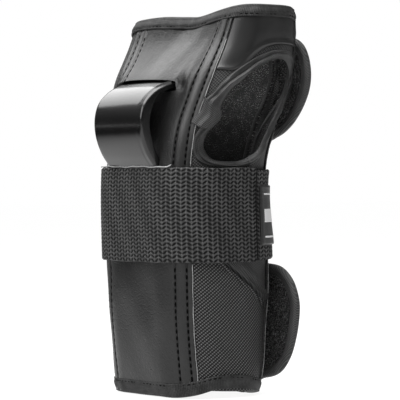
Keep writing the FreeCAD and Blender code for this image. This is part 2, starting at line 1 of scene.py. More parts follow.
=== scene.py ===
# Padded wrist guard for the right hand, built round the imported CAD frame.
# The wall's surface comes from the same rounded sections as the CAD, blended smoothly along its
# height.  Every soft piece is a closed mesh laid on that surface at its own depth.  A place on the
# wall is s, the distance round it from the middle of the palm towards the thumb, z, its height,
# and its depth below the outside, all in millimetres.
import math
import bmesh
import bpy
import numpy as np
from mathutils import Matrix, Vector


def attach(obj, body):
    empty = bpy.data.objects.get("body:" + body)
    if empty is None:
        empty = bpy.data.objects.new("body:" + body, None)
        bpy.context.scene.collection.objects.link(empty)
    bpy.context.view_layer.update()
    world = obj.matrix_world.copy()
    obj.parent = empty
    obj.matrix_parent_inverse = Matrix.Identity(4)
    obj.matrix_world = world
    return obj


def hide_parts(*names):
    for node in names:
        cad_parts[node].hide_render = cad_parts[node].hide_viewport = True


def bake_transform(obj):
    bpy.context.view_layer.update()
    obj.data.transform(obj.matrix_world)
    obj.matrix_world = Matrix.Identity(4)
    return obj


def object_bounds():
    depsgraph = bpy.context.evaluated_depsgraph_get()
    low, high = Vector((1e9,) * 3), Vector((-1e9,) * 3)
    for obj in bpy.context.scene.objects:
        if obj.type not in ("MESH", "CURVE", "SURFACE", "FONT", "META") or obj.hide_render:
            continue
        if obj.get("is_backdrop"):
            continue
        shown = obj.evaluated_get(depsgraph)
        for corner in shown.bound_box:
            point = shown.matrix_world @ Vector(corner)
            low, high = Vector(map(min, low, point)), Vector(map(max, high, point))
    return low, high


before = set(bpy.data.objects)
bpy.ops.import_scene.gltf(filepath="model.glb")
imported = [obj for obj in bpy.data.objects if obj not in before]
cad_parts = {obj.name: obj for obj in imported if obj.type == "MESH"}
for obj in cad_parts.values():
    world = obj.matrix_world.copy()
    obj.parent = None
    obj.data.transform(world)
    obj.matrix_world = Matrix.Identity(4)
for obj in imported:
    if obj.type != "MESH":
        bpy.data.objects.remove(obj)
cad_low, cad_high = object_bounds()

MM = 0.001
SHIFT = np.array([1.295, 1.04, 0.0])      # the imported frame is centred; the sections are not

# Outside sections of the wall in millimetres, from the foot to the rim.
HEIGHTS = np.array([0, 36, 71, 122, 145, 167, 190, 214.0])
HALF_WIDTH = np.array([40, 42.3, 43, 43.5, 46.5, 49.5, 50, 50.0])
PALM = np.array([-29, -32.7, -34.7, -35, -31, -24, -10, 0.0])
BACK = np.array([29, 32.7, 34.5, 32.5, 37.4, 44, 42.6, 41.0])
RADIUS = np.array([24, 26, 27, 27, 27, 24, 18, 16.0])
SLIT_LITTLE = np.array([18, 18, 18, 18.5, 21.5, 27, 28, 28.0])
SLIT_THUMB = np.array([30, 30, 30, 30, 33, 40, 40.5, 40.5])
SEAM_LITTLE = np.array([33, 33, 33, 33, 32, 31, 34.2, 35.4])
SEAM_THUMB = np.array([35.4, 36.2, 36.8, 36.5, 38.3, 42.4, 42.8, 42.7])
BACK_SEAM = 36.0
RIM_X = np.array([-50, -44, -30, -20, 0, 16, 34, 46, 54.0])
RIM_X_HEIGHT = np.array([198.5, 201.2, 203.2, 203.6, 202.8, 202.4, 205.6, 208.0, 208.4])
RIM_Y = np.array([-60, 22, 31, 45, 60.0])
RIM_Y_HEIGHT = np.array([213, 211.6, 209.3, 204.5, 200.0])
ARCH_Y = np.array([-60, -27, -20, -12, -4, 8, 20, 27, 60.0])
ARCH_HEIGHT = np.array([0, 0, 1.6, 3.9, 4.3, 3.7, 1.4, 0, 0.0])
# Edge of the thumb opening seen from the thumb side: Y, height.
THUMB_OPENING = (
    (19, 179), (29, 179), (35.4, 171), (35.6, 163), (32, 154.5), (22.8, 141), (14.2, 130),
    (8, 126), (3, 124.8), (-7, 123.6), (-16.5, 125.8), (-21, 131), (-20.5, 137), (-17.5, 142),
    (-14.2, 146), (-13.6, 150), (-13, 154.5), (-10.8, 160), (-5, 165.5), (2.5, 171), (10.5, 175.8))
THUMB_MIDDLE = (5, 150)
RIM_SIZING = 203.0        # the height at which places round the upper edge are measured
FOOT_SIZING = 3.0         # and the height for the lower edge
# Lower edge of the smooth upper panel on the thumb side: Y, height.
SMOOTH_EDGE = ((-14, 172.8), (-7, 172.9), (-4, 174.2), (0.5, 178.6), (7.5, 183.4), (14.5, 186),
               (24.5, 187), (33, 185.6), (42, 181))
# Line of the palm blade up the palm, from its foot to its end in the slot: Y, height.
PALM_BLADE = np.array([
    (-27.1, 13), (-29.4, 36), (-30.9, 60), (-31.6, 85), (-32.1, 98), (-32.9, 111), (-35.3, 121),
    (-40.8, 129), (-44, 135.8), (-45.5, 142), (-45.3, 149), (-42.8, 155.6), (-36.5, 161.2),
    (-28.5, 164.7), (-20.5, 166.2), (-13.5, 169.5), (-8, 175)], float)


# --- the wall's surface ---
def stack(*parts):
    """One array of places from its separate coordinates."""
    return np.stack(np.broadcast_arrays(*parts), -1)


def in_frame(x, y, z):
    """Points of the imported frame, in metres, for places in the sections' own millimetres."""
    return (stack(x, y, z) - SHIFT) * MM


def curve(x, places, values):
    """Smooth curve through values at places, for one number or an array."""
    x = np.asarray(x, float)
    slopes = np.gradient(values, places)
    k = np.clip(np.searchsorted(places, x) - 1, 0, len(places) - 2)
    step = places[k + 1] - places[k]
    t = np.clip((x - places[k]) / step, 0, 1)
    return (values[k] * (1 - t) ** 2 * (1 + 2 * t) + values[k + 1] * t ** 2 * (3 - 2 * t)
            + t * (1 - t) ** 2 * step * slopes[k] - t ** 2 * (1 - t) * step * slopes[k + 1])


def section(z):
    """Half width, palm side, back side and corner radius of the wall at a height."""
    return [curve(z, HEIGHTS, row) for row in (HALF_WIDTH, PALM, BACK, RADIUS)]


def half_girth(z):
    """Distance round the wall from the middle of the palm to the middle of the back."""
    width, palm, back, radius = section(z)
    return 2 * (width - radius) + math.pi * radius + (back - palm - 2 * radius)


def round_to(x, z):
    """Distance round the wall from the middle of a face to the place x mm to its side."""
    width, _, _, radius = section(z)
    flat = width - radius
    sine = np.clip((x - flat) / radius, -1, 1)
    return np.where(x > flat, flat + radius * np.arcsin(sine), x)


def side_at(y, z):
    """Distance round from the middle of the palm to depth y on the thumb side."""
    width, palm, back, radius = section(z)
    flat = width - radius
    corner = math.pi * radius / 2
    low = flat + radius * np.arccos(np.clip((palm + radius - y) / radius, -1, 1))
    middle = flat + corner + (y - palm - radius)
    high = flat + corner + (back - palm - 2 * radius) + radius * np.arcsin(
        np.clip((y - back + radius) / radius, -1, 1))
    return np.where(y < palm + radius, low, np.where(y > back - radius, high, middle))


def thumb_seam(z):
    return round_to(curve(z, HEIGHTS, SEAM_THUMB), z)


def little_seam(z):
    return -round_to(curve(z, HEIGHTS, SEAM_LITTLE), z)


def back_seam(z):
    return -(half_girth(z) - round_to(BACK_SEAM, z))


def near_edge(z):
    """The opening's edge next to the thumb."""
    return half_girth(z) - round_to(curve(z, HEIGHTS, SLIT_THUMB), z)


def far_edge(z):
    """The opening's edge next to the little finger side."""
    return -(half_girth(z) + round_to(curve(z, HEIGHTS, SLIT_LITTLE), z))


def flat_place(s, z):
    """X, Y and the outward direction in the section at distance s round the wall."""
    width, palm, back, radius = section(z)
    half = half_girth(z)
    s = (s + half) % (2 * half) - half
    sign = np.where(s < 0, -1.0, 1.0)
    t = np.abs(s)
    flat, corner = width - radius, math.pi * radius / 2
    side = back - palm - 2 * radius
    first = np.clip((t - flat) / radius, 0, math.pi / 2)
    second = np.clip((t - flat - corner - side) / radius, 0, math.pi / 2)
    on_side = t > flat + corner
    nx = np.where(on_side, np.cos(second), np.sin(first))
    ny = np.where(on_side, np.sin(second), -np.cos(first))
    past = np.clip(t - flat - 2 * corner - side, 0, None)
    x = np.where(on_side, flat + radius * nx - past, np.minimum(t, flat) + radius * nx)
    y = np.where(on_side, np.where(second > 0, back - radius, palm + radius + t - flat - corner)
                 + radius * ny, palm + radius + radius * ny)
    return x * sign, y, nx * sign, ny


def bump(x, width):
    """Smooth hump of height one round zero."""
    return np.exp(-(x / width) ** 2)


def step(x, low, high):
    """0 below low, 1 above high, smooth in between."""
    t = np.clip((x - low) / (high - low), 0, 1)
    return t * t * (3 - 2 * t)


def softness(s, z):
    """How far the well-used fabric stands out from the plain sections, in millimetres."""
    waves = (0.28 * np.sin(s / 11 + z / 17) + 0.22 * np.sin(s / 6.3 - z / 13 + 1)
             + 0.16 * np.sin(s / 4.1 + z / 7.7 + 2.2) + 0.12 * np.cos(z / 4.9 - s / 9))
    hollow = -1.6 * bump(s - 4, 20) * bump(z - 193, 11)
    return 0.8 * waves + hollow


def past_opening(s, z):
    """How far a place lies outside the thumb opening's edge."""
    across, up = s - MIDDLE_S, z - MIDDLE_Z
    return np.hypot(across, up) - reach_at(np.arctan2(up, across), opening_reach)


def pinch(s, z):
    """Share of the wall's thickness left near the thumb opening, where its tape is pulled tight."""
    gap = np.where(s > 20, past_opening(s, z), 99)
    least = 0.4 - 0.25 * step(s - MIDDLE_S, 0, 14)
    return least + (1 - least) * step(gap, 1, 13)


def wall(s, z, depth):
    """Points on the wall, depth mm below its outside."""
    s, z, depth = np.broadcast_arrays(*(np.asarray(v, float) for v in (s, z, depth)))
    x, y, nx, ny = flat_place(s, z)
    out = softness(s, z) - np.where(depth > 0, depth * pinch(s, z), depth)
    return in_frame(x + nx * out, y + ny * out, z)


def rim(s):
    """Height of the wall's finished upper edge at distance s round it."""
    x, y, _, _ = flat_place(s, np.full(np.shape(s), RIM_SIZING))
    across = curve(x, RIM_X, RIM_X_HEIGHT)
    deep = curve(y, RIM_Y, RIM_Y_HEIGHT)
    return (across + deep - np.sqrt((across - deep) ** 2 + 2.0)) / 2


def foot(s):
    """Height of the wall's finished lower edge."""
    x, y, _, _ = flat_place(s, np.full(np.shape(s), FOOT_SIZING))
    return curve(y, ARCH_Y, ARCH_HEIGHT) * step(x, 12, 28)


# --- mesh helpers ---
END_STEPS = (0.15, 0.4, 0.8, 1.4)
ROW_STEPS = (-0.9, -0.55, -0.3, 0, 0.3, 0.55, 0.9)
LEAST_GAP = 0.12
SIZING_HEIGHT = 60.0      # where a sheet's width is measured to space its columns


def add_object(name, data):
    thing = bpy.data.objects.new(name, data)
    bpy.context.scene.collection.objects.link(thing)
    return thing


def new_material(name):
    """Material and its shader."""
    made = bpy.data.materials.new(name)
    made.use_nodes = True
    return made, made.node_tree.nodes["Principled BSDF"]


def mesh_object(name, points, faces, material, body="cuff", cloth=None, relief=None):
    """New piece that rides on a body.  cloth holds each point's place in its weave, in mm."""
    mesh = bpy.data.meshes.new(name)
    mesh.from_pydata(np.asarray(points).reshape(-1, 3).tolist(), [], faces)
    mesh.validate()
    shell = bmesh.new()
    shell.from_mesh(mesh)
    bmesh.ops.recalc_face_normals(shell, faces=shell.faces)
    shell.to_mesh(mesh)
    shell.free()
    for label, kind, field, values in (("cloth", "FLOAT_VECTOR", "vector", cloth),
                                       ("relief", "FLOAT", "value", relief)):
        if values is not None:
            layer = mesh.attributes.new(label, kind, "POINT")
            layer.data.foreach_set(field, np.ascontiguousarray(values, np.float32).ravel())
    mesh.materials.append(material)
    mesh.polygons.foreach_set("use_smooth", [True] * len(mesh.polygons))
    thing = add_object(name, mesh)
    if body:
        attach(thing, body)
    return thing


def sheet_faces(rows, columns, start, flip, keep=None, wrap=False):
    """Quads over a grid of points numbered row by row from start."""
    faces = []
    for i in range(rows if wrap else rows - 1):
        for j in range(columns - 1):
            if keep is not None and not keep[i, j]:
                continue
            a = start + i * columns + j
            b = start + ((i + 1) % rows) * columns + j
            quad = (a, b, b + 1, a + 1)
            faces.append(quad[::-1] if flip else quad)
    return faces


def closed_sheet(name, place, s, z, outer, inner, material, keep=None, wrap=False, relief=None, **kind):
    """Closed piece between two depths over a grid of places, joined round every free edge."""
    rows, columns = z.shape
    count = rows * columns
    faces = sheet_faces(rows, columns, 0, False, keep, wrap)
    edges = {edge for face in faces for edge in zip(face, face[1:] + face[:1])}
    sides = [(b, a, a + count, b + count) for a, b in edges if (b, a) not in edges]
    faces += sheet_faces(rows, columns, count, True, keep, wrap) + sides
    points = np.concatenate([place(s, z, depth).reshape(-1, 3) for depth in (outer, inner)])
    cloth = np.concatenate([stack(s, z, 0.0).reshape(-1, 3)] * 2)
    used, faces = np.unique(faces, return_inverse=True)
    if relief is not None:
        relief = np.concatenate([relief.ravel(), np.zeros(count)])[used]
    return mesh_object(name, points[used], faces.reshape(-1, 4).tolist(), material,
                       cloth=cloth[used], relief=relief, **kind)


def marks(length, spacing, rows=()):
    """Places from 0 to length, closer together near both ends and near each row."""
    places = list(np.linspace(0, length, max(2, int(length / spacing) + 1)))
    for near in END_STEPS:
        places += [near, length - near]
    for row in rows:
        places += [row + offset for offset in ROW_STEPS]
    places = sorted(p for p in places if 0 <= p <= length)
    kept = [places[0]]
    for place in places[1:]:
        if place - kept[-1] > LEAST_GAP:
            kept.append(place)
    kept[-1] = length
    return np.array(kept)


def edge_round(distance, radius):
    """How far a rounded edge drops, distance mm in from it."""
    t = np.clip(1 - distance / radius, 0, 1)
    return radius * (1 - np.sqrt(1 - t * t))


def level(value):
    """An edge at one height or distance, as the sheets want their edges."""
    return lambda other: value + 0 * np.asarray(other, float)


def wall_sheet(name, left, right, low, high, depths, material, columns=2.0, rows=2.0, extra=None,
               round_edges=1.0, keep=None, place=wall, **kind):
    """Closed sheet on the wall.  left and right are functions of height, low and high of the
    distance round; extra(s, z, left gap, right gap) raises the outer face in mm."""
    width = float(right(SIZING_HEIGHT) - left(SIZING_HEIGHT))
    across = marks(width, columns) / width
    s_top = left(RIM_SIZING) + across * (right(RIM_SIZING) - left(RIM_SIZING))
    tops, lows = high(s_top), low(s_top)
    span = float(np.mean(tops - lows))
    z = lows[:, None] + marks(span, rows) / span * (tops - lows)[:, None]
    s = left(z) + across[:, None] * (right(z) - left(z))
    gap_left, gap_right = s - left(z), right(z) - s
    outer = depths[0] + edge_round(np.minimum(gap_left, gap_right), round_edges)
    outer = outer + edge_round(np.minimum(z - z[:, :1], z[:, -1:] - z), round_edges)
    if extra is not None:
        outer = outer - extra(s, z, gap_left, gap_right)
    hole = None if keep is None else keep(s, z)
    return closed_sheet(name, place, s, z, outer, depths[1], material, keep=hole, **kind)


def path_lengths(points):
    """Distance along a path at each of its points."""
    return np.concatenate([[0], np.cumsum(np.linalg.norm(np.diff(points, axis=0), axis=1))])


def resample(points, spacing, closed=False):
    """Evenly spaced smooth points through given ones."""
    points = np.asarray(points, float)
    count = len(points)
    samples = []
    for k in range(count if closed else count - 1):
        ids = [k - 1, k, k + 1, k + 2]
        ids = [i % count for i in ids] if closed else [min(max(i, 0), count - 1) for i in ids]
        a, b, c, d = (points[i] for i in ids)
        for t in np.linspace(0, 1, 16, endpoint=False):
            samples.append(0.5 * (2 * b + (c - a) * t + (2 * a - 5 * b + 4 * c - d) * t * t
                                  + (3 * b - a - 3 * c + d) * t ** 3))
    samples.append(points[0] if closed else points[-1])
    samples = np.array(samples)
    lengths = path_lengths(samples)
    even = np.linspace(0, lengths[-1], max(3, int(round(lengths[-1] / spacing)) + 1))
    smooth = np.stack([np.interp(even, lengths, column) for column in samples.T], 1)
    return smooth[:-1] if closed else smooth


def tube_faces(count, size, start=0, closed=False):
    """Quads along count rings of size points, with a cap on both ends unless it is closed."""
    faces = []
    for i in range(count if closed else count - 1):
        here, there = start + i * size, start + ((i + 1) % count) * size
        for j in range(size):
            k = (j + 1) % size
            faces.append((here + j, there + j, there + k, here + k))
    if not closed:
        last = start + (count - 1) * size
        faces += [tuple(range(start, start + size)), tuple(range(last, last + size))[::-1]]
    return faces


def swept(name, loops, cloth, material, closed=False, **kind):
    """Closed piece through a row of profile loops, capped unless it comes round on itself."""
    faces = tube_faces(*loops.shape[:2], closed=closed)
    return mesh_object(name, loops, faces, material, cloth=cloth.reshape(-1, 3), **kind)


# Each ring of a stitch: its place along the stitch, how far it rises, how thick it is there.
STITCH_RINGS = ((0.0, -0.55, 0.55), (0.14, 0.02, 0.85), (0.38, 0.16, 1.0), (0.62, 0.16, 1.0),
                (0.86, 0.02, 0.85), (1.0, -0.55, 0.55))
THREAD_CORNERS = 6
THREAD_FLATNESS = 0.8


def stitches(name, path, outward, pitch, length, width):
    """Row of sewn stitches: small rounded threads that dive into the cloth at both ends."""
    lengths = path_lengths(path) / MM
    turns = [2 * math.pi * k / THREAD_CORNERS for k in range(THREAD_CORNERS)]
    points, faces = [], []
    for start in np.arange(0.6, lengths[-1] - length, pitch):
        faces += tube_faces(len(STITCH_RINGS), THREAD_CORNERS, len(points))
        places = [start + length * ring[0] for ring in STITCH_RINGS]
        spots = np.stack([np.interp(places, lengths, column) for column in path.T], 1)
        up = np.array([np.interp(start + length / 2, lengths, column) for column in outward.T])
        up /= np.linalg.norm(up)
        along = spots[-1] - spots[0]
        side = np.cross(along / np.linalg.norm(along), up)
        for spot, (_, lift, thick) in zip(spots, STITCH_RINGS):
            points += [spot + MM * width * (up * (lift + thick * math.sin(turn) * THREAD_FLATNESS)
                                            + side * thick * math.cos(turn)) for turn in turns]
    mesh_object(name, points, faces, THREAD)


def wall_stitches(name, s, z, depth, pitch=2.9, length=2.0, width=0.34):
    """Row of stitches along places on the wall."""
    depth = depth + 0 * z
    path = wall(s, z, depth)
    stitches(name, path, wall(s, z, depth - 1.0) - path, pitch, length, width)


class Field:
    """A shader value that can be written into formulas."""

    def __init__(self, tree, socket):
        self.tree = tree
        self.socket = socket

    def math(self, operation, *others):
        node = self.tree.nodes.new("ShaderNodeMath")
        node.operation = operation
        for place, value in zip(node.inputs, (self, *others)):
            feed(self.tree, place, value)
        return Field(self.tree, node.outputs[0])

    def __add__(self, other):
        return self.math("ADD", other)

    def __sub__(self, other):
        return self.math("SUBTRACT", other)

    def __mul__(self, other):
        return self.math("MULTIPLY", other)

    def wave(self, pitch):
        """Ridges of that pitch, from 0 to 1."""
        return (self * (2 * math.pi / pitch)).math("SINE") * 0.5 + 0.5

    def size(self):
        return self.math("ABSOLUTE")

    def between(self, low, high):
        """0 below low, 1 above high, smooth in between."""
        result = texture(self.tree, "ShaderNodeMapRange", "Result", Value=self, From_Min=low, From_Max=high)
        result.socket.node.interpolation_type = "SMOOTHSTEP"
        return result


def feed(tree, place, value):
    """Link a field to a socket, or set the socket to a constant."""
    if isinstance(value, Field):
        tree.links.new(value.socket, place)
    else:
        place.default_value = value


def texture(tree, kind, output, **inputs):
    """One output of a new shader node whose named inputs are linked or set."""
    node = tree.nodes.new(kind)
    for label, value in inputs.items():
        feed(tree, node.inputs[label.replace("_", " ")], value)
    return Field(tree, node.outputs[output])


class Cloth:
    """Places in the weave, in mm, and the textures read from them."""

    def __init__(self, tree, attribute):
        self.tree = tree
        if attribute:
            self.place = self.stored("cloth", "Vector")
        else:
            spot = texture(tree, "ShaderNodeTexCoord", "Object")
            self.place = texture(tree, "ShaderNodeVectorMath", 0, Vector=spot)
            self.place.socket.node.operation = "SCALE"
            self.place.socket.node.inputs["Scale"].default_value = 1 / MM
        split = texture(tree, "ShaderNodeSeparateXYZ", 0, Vector=self.place).socket.node
        self.x, self.y, self.z = (Field(tree, out) for out in split.outputs)

    def stored(self, label, output="Fac"):
        """What the mesh stores under a label."""
        value = texture(self.tree, "ShaderNodeAttribute", output)
        value.socket.node.attribute_name = label
        return value

    def noise(self, size, detail=2.0, rough=0.5):
        """Cloudy values round 0.5 with features about size mm across."""
        return texture(self.tree, "ShaderNodeTexNoise", "Fac", Vector=self.place, Scale=1 / size,
                       Detail=detail, Roughness=rough)

    def cells(self, size):
        """Distance from the middle of the nearest cell, cells about size mm across."""
        return texture(self.tree, "ShaderNodeTexVoronoi", "Distance", Vector=self.place, Scale=1 / size)


def finish(name, dark, light, roughness, shine, pattern, depth, attribute=True, coat=(0, 0.03)):
    """Grey material whose pattern gives (tone 0 to 1, height 0 to 1, roughness change or None)."""
    made, shader = new_material(name)
    tree = made.node_tree
    tone, height, gloss = pattern(Cloth(tree, attribute))
    shade = tree.nodes.new("ShaderNodeMix")
    shade.data_type = "RGBA"
    for place, value in zip((0, 6, 7), (tone, (dark, dark, dark, 1), (light, light, light, 1))):
        feed(tree, shade.inputs[place], value)
    relief = texture(tree, "ShaderNodeBump", "Normal", Strength=1.0, Distance=depth * MM, Height=height)
    for label, value in (("Base Color", Field(tree, shade.outputs[2])), ("Normal", relief),
                         ("Roughness", roughness if gloss is None else gloss + roughness),
                         ("Specular IOR Level", shine), ("Coat Weight", coat[0]),
                         ("Coat Roughness", coat[1])):
        feed(tree, shader.inputs[label], value)
    return made


def leather_pattern(cloth):
    grain = cloth.cells(0.85).between(0.0, 0.75)
    fine = cloth.noise(0.5, 3)
    clouds = cloth.noise(14, 3)
    creases = (cloth.noise(5, 4, 0.6) - 0.5).size().between(0.0, 0.05)
    # The stored mask lightens the colour as a painted highlight along the thumb rows.
    tone = clouds * 0.12 + fine * 0.08 + cloth.stored("relief") * 0.8
    return tone, grain * 0.5 + fine * 0.3 + creases * 0.5, (cloth.noise(4, 3) - 0.5) * 0.16


def coated_pattern(cloth):
    fine = cloth.noise(0.7, 3)
    return cloth.noise(12, 2), fine * 0.5 + cloth.noise(3, 2) * 0.8, (cloth.noise(6) - 0.5) * 0.1


def weave_pattern(pitch, slant=0.0):
    """Over and under threads, with ribs that lean by slant."""
    def pattern(cloth):
        across = (cloth.x + cloth.y * slant).wave(pitch)
        along = (cloth.y - cloth.x * slant).wave(pitch)
        threads = (across - 0.5) * (along - 0.5) * 2 + 0.5
        fuzz = cloth.noise(0.35, 3, 0.7)
        tone = (threads * 1.1 + fuzz * 0.7 + (cloth.noise(9, 2) - 0.5) * 0.5 - 0.4).between(0.0, 1.0)
        return tone, threads * 0.9 + fuzz * 0.4, None
    return pattern


def coarse_pattern(cloth):
    """Heavy yarns in a twill whose lines climb towards the thumb."""
    lines = (cloth.y - cloth.x * 0.8).wave(1.9)
    yarns = (cloth.y + cloth.x * 0.9).wave(1.7)
    fuzz = cloth.noise(0.5, 3, 0.7)
    tone = (lines * yarns * 0.9 + lines * 0.25 + fuzz * 0.8 - 0.36).between(0.15, 1.0)
    return tone, lines * yarns + fuzz * 0.3, None


def tape_pattern(cloth):
    ribs = cloth.x.wave(0.9)
    fuzz = cloth.noise(0.55, 3, 0.7)
    tone = (ribs * 0.3 + fuzz * 0.9 + (cloth.noise(6) - 0.5) * 0.8 - 0.2).between(0.0, 1.0)
    return tone, ribs * 0.5 + fuzz * 0.6, None


def webbing_pattern(cloth):
    yarn = (cloth.x * 0.4 + cloth.y).wave(0.42)
    fuzz = cloth.noise(0.3, 3, 0.7)
    # Painted shade: the colour darkens with the weave's stored relief, deepest in its gaps.
    tone = (cloth.stored("relief") * (yarn * 0.25 + fuzz * 0.9 + 0.3)).between(0.5, 1.15)
    return tone, yarn * 0.3 + fuzz * 0.5, None


def loop_pattern(cloth):
    fuzz = cloth.noise(0.6, 4, 0.8)
    specks = cloth.noise(0.5, 1, 0.5).between(0.6, 0.68) * cloth.noise(5, 2).between(0.3, 0.6)
    return fuzz.between(0.35, 0.9) * 0.2 + specks, fuzz, None


def lining_pattern(cloth):
    """Brushed loops, darker towards the wrist as painted shade deep inside the wall."""
    tone, height, _ = loop_pattern(cloth)
    # Painted shade: the colour darkens below the thumb opening.
    return tone * (cloth.y.between(118, 180) * 0.8 + 0.25), height, None


def hook_pattern(cloth):
    hooks = cloth.noise(0.75, 3, 0.8).between(0.48, 0.72)
    return hooks * 0.42, hooks, None


def plastic_pattern(cloth):
    scuffs = cloth.noise(0.25, 2).between(0.62, 0.8)
    return cloth.noise(20, 2), cloth.noise(9, 2), cloth.noise(7, 3) * 0.06 + scuffs * 0.04


def stay_pattern(cloth):
    return cloth.noise(5, 2), cloth.noise(0.8, 2), cloth.noise(3) * 0.1


def satin_pattern(cloth):
    ribs = cloth.x.wave(0.5)
    return ribs * 0.4 + cloth.noise(0.6, 2) * 0.4, ribs * 0.5 + cloth.noise(5) * 0.6, None


def thread_pattern(cloth):
    twist = (cloth.x + cloth.y + cloth.z).wave(0.35)
    return twist, twist, None


def foam_pattern(cloth):
    cells = cloth.cells(0.5)
    return cells, cells, None


# Each finish: name, darkest and lightest tone, roughness, shine, pattern, relief in mm.
LEATHER = finish("leather", 0.006, 0.05, 0.31, 0.38, leather_pattern, 0.07)
COATED = finish("coated_cloth", 0.007, 0.012, 0.34, 0.5, coated_pattern, 0.05)
NYLON = finish("nylon", 0.001, 0.055, 0.6, 0.22, weave_pattern(1.7, 0.15), 0.35)
SOFT = finish("soft_nylon", 0.002, 0.07, 0.55, 0.22, weave_pattern(1.3), 0.2)
COARSE = finish("coarse_nylon", 0.001, 0.13, 0.55, 0.22, coarse_pattern, 0.35)
TAPE = finish("tape", 0.003, 0.055, 0.6, 0.22, tape_pattern, 0.14)
FOLDED = finish("folded_tape", 0.003, 0.036, 0.42, 0.38, tape_pattern, 0.1)
WEBBING = finish("webbing", 0.0002, 0.105, 0.55, 0.22, webbing_pattern, 0.12)
LINING = finish("lining", 0.0005, 0.34, 0.75, 0.15, lining_pattern, 0.5)
FOAM = finish("foam", 0.003, 0.012, 0.9, 0.1, foam_pattern, 0.2)
BLADE = finish("gloss_plastic", 0.003, 0.006, 0.15, 0.5, plastic_pattern, 0.03,
               coat=(0.2, 0.16))
STAY = finish("stay_plastic", 0.02, 0.035, 0.4, 0.5, stay_pattern, 0.05, False)
HOOKS = finish("hooks", 0.001, 0.45, 0.5, 0.2, hook_pattern, 0.6, False)
LOOPS = finish("loops", 0.001, 0.08, 0.8, 0.22, loop_pattern, 0.4, False)
LABEL = finish("label", 0.004, 0.016, 0.35, 0.5, satin_pattern, 0.08)
MARK = finish("label_mark", 0.45, 0.7, 0.5, 0.5, satin_pattern, 0.08)
EDGE = finish("raw_edge", 0.16, 0.45, 0.6, 0.5, tape_pattern, 0.1)
THREAD = finish("thread", 0.0005, 0.003, 0.7, 0.05, thread_pattern, 0.05, False)


# --- the thumb opening's outline ---
MIDDLE_S, MIDDLE_Z = float(side_at(*THUMB_MIDDLE)), THUMB_MIDDLE[1]


def from_side(points):
    """(Y, height) places on the thumb side as (distance round, height)."""
    y, z = np.array(points, float).T
    return stack(side_at(y, z), z)


def reach_at(angle, reach):
    """A reach known round the ring of angles, at any angle."""
    return np.interp(angle, RING, reach, period=2 * math.pi)


def ring_reach(outline):
    """How far an outline lies from the opening's middle, at every angle of the ring."""
    gap = outline - np.array([MIDDLE_S, MIDDLE_Z])
    angles = np.arctan2(gap[:, 1], gap[:, 0])
    order = np.argsort(angles)
    return np.interp(RING, angles[order], np.hypot(*gap.T)[order], period=2 * math.pi)


RING = np.linspace(-math.pi, math.pi, 300, endpoint=False)
opening_reach = ring_reach(resample(from_side(THUMB_OPENING), 0.8, closed=True))


# --- padded wall ---
PAD_INSIDE = 5.9              # depth of the padding's inner face
LOWER_END = level(112.0)      # the lower panels end under the strap
UPPER_START = 110.0           # and the upper thumb side starts there
HEM = 1.2                     # how far the panels stay inside the wall's finished edges
LITTLE_ROWS = (4.4, 11.2)     # the leather's rows of stitching, in from its two seams
THUMB_ROWS = (3.0, 9.4)
SLOT_HALF = 24.0              # the slot that the blade comes out of
SLOT_HEIGHT = 165.0
STAY_SHIFT = 7.5              # the stay's pocket, from the middle of the back
STAY_ROW = 14.6               # and its rows of stitching, from the pocket's middle


def inside_rim(s):
    return rim(s) - HEM


def above_foot(s):
    return foot(s) + HEM


def rows_of_stitching(gap, rows, depth=0.42):
    """Grooves where rows of stitching pull the cloth down."""
    return sum(-depth * bump(gap - row, 0.5) for row in rows)


def seam_shrink(z):
    """The rows of stitching draw closer to their seam towards the rim."""
    return 1 - 0.2 * step(z, 150, 200)


def leather_surface(s, z, left, right):
    """Sewn grooves with puffed leather between them, the slot's lip, puckers and folds."""
    near = seam_shrink(z)
    sewn = (rows_of_stitching(left / near, LITTLE_ROWS, 0.7)
            + rows_of_stitching(right / near, THUMB_ROWS, 0.7))
    puff = 0.35 * bump(left - 7.8, 2.2) + 0.4 * bump(right - 6.0, 2.0)
    up = z - slot_middle(s)
    swell = np.where(up > 0, bump(up, 9.5), bump(up, 3.5) * 0.35)
    lip = (2.6 - 0.9 * np.clip(s / SLOT_HALF, -1, 1.1)) * step(SLOT_HALF + 7 - np.abs(s), 0, 8) * swell
    pucker = 1.1 * bump(s - 31.5, 2.8) * bump(z - 168, 7) - 1.5 * bump(s - 27.5, 2.4) * bump(z - 165, 4)
    fold = (0.5 * bump(s - 12 - (z - 175) * 0.55, 5.5) * bump(z - 184, 12)
            - 0.5 * bump(s + 6 - (z - 175) * 0.5, 7) * bump(z - 186, 12))
    return sewn + puff + lip + pucker + fold


def slot_low(s):
    """Height of the slot's lower lip."""
    return 161.2 + 0.9 * np.clip(s / SLOT_HALF, -1, 1)


def slot_high(s):
    """Height of its upper lip, which comes down to the lower one at both ends."""
    open_part = np.sqrt(np.clip(1 - (s / SLOT_HALF) ** 2, 0, 1))
    return slot_low(s) + 0.5 + open_part ** 0.2 * (6.7 - 1.4 * s / SLOT_HALF)


def slot_middle(s):
    """Height that the slot's lips swell round."""
    return slot_low(s) + 3.6


def leather_place(across, width, z):
    """Distance round at height z, across mm over the panel, keeping both seams' rows straight."""
    shrink = seam_shrink(z)
    left, right = little_seam(z), thumb_seam(z)
    t = np.clip((across - 16) / (width - 30), 0, 1)
    return (left + across * shrink) * (1 - t) + (right - (width - across) * shrink) * t


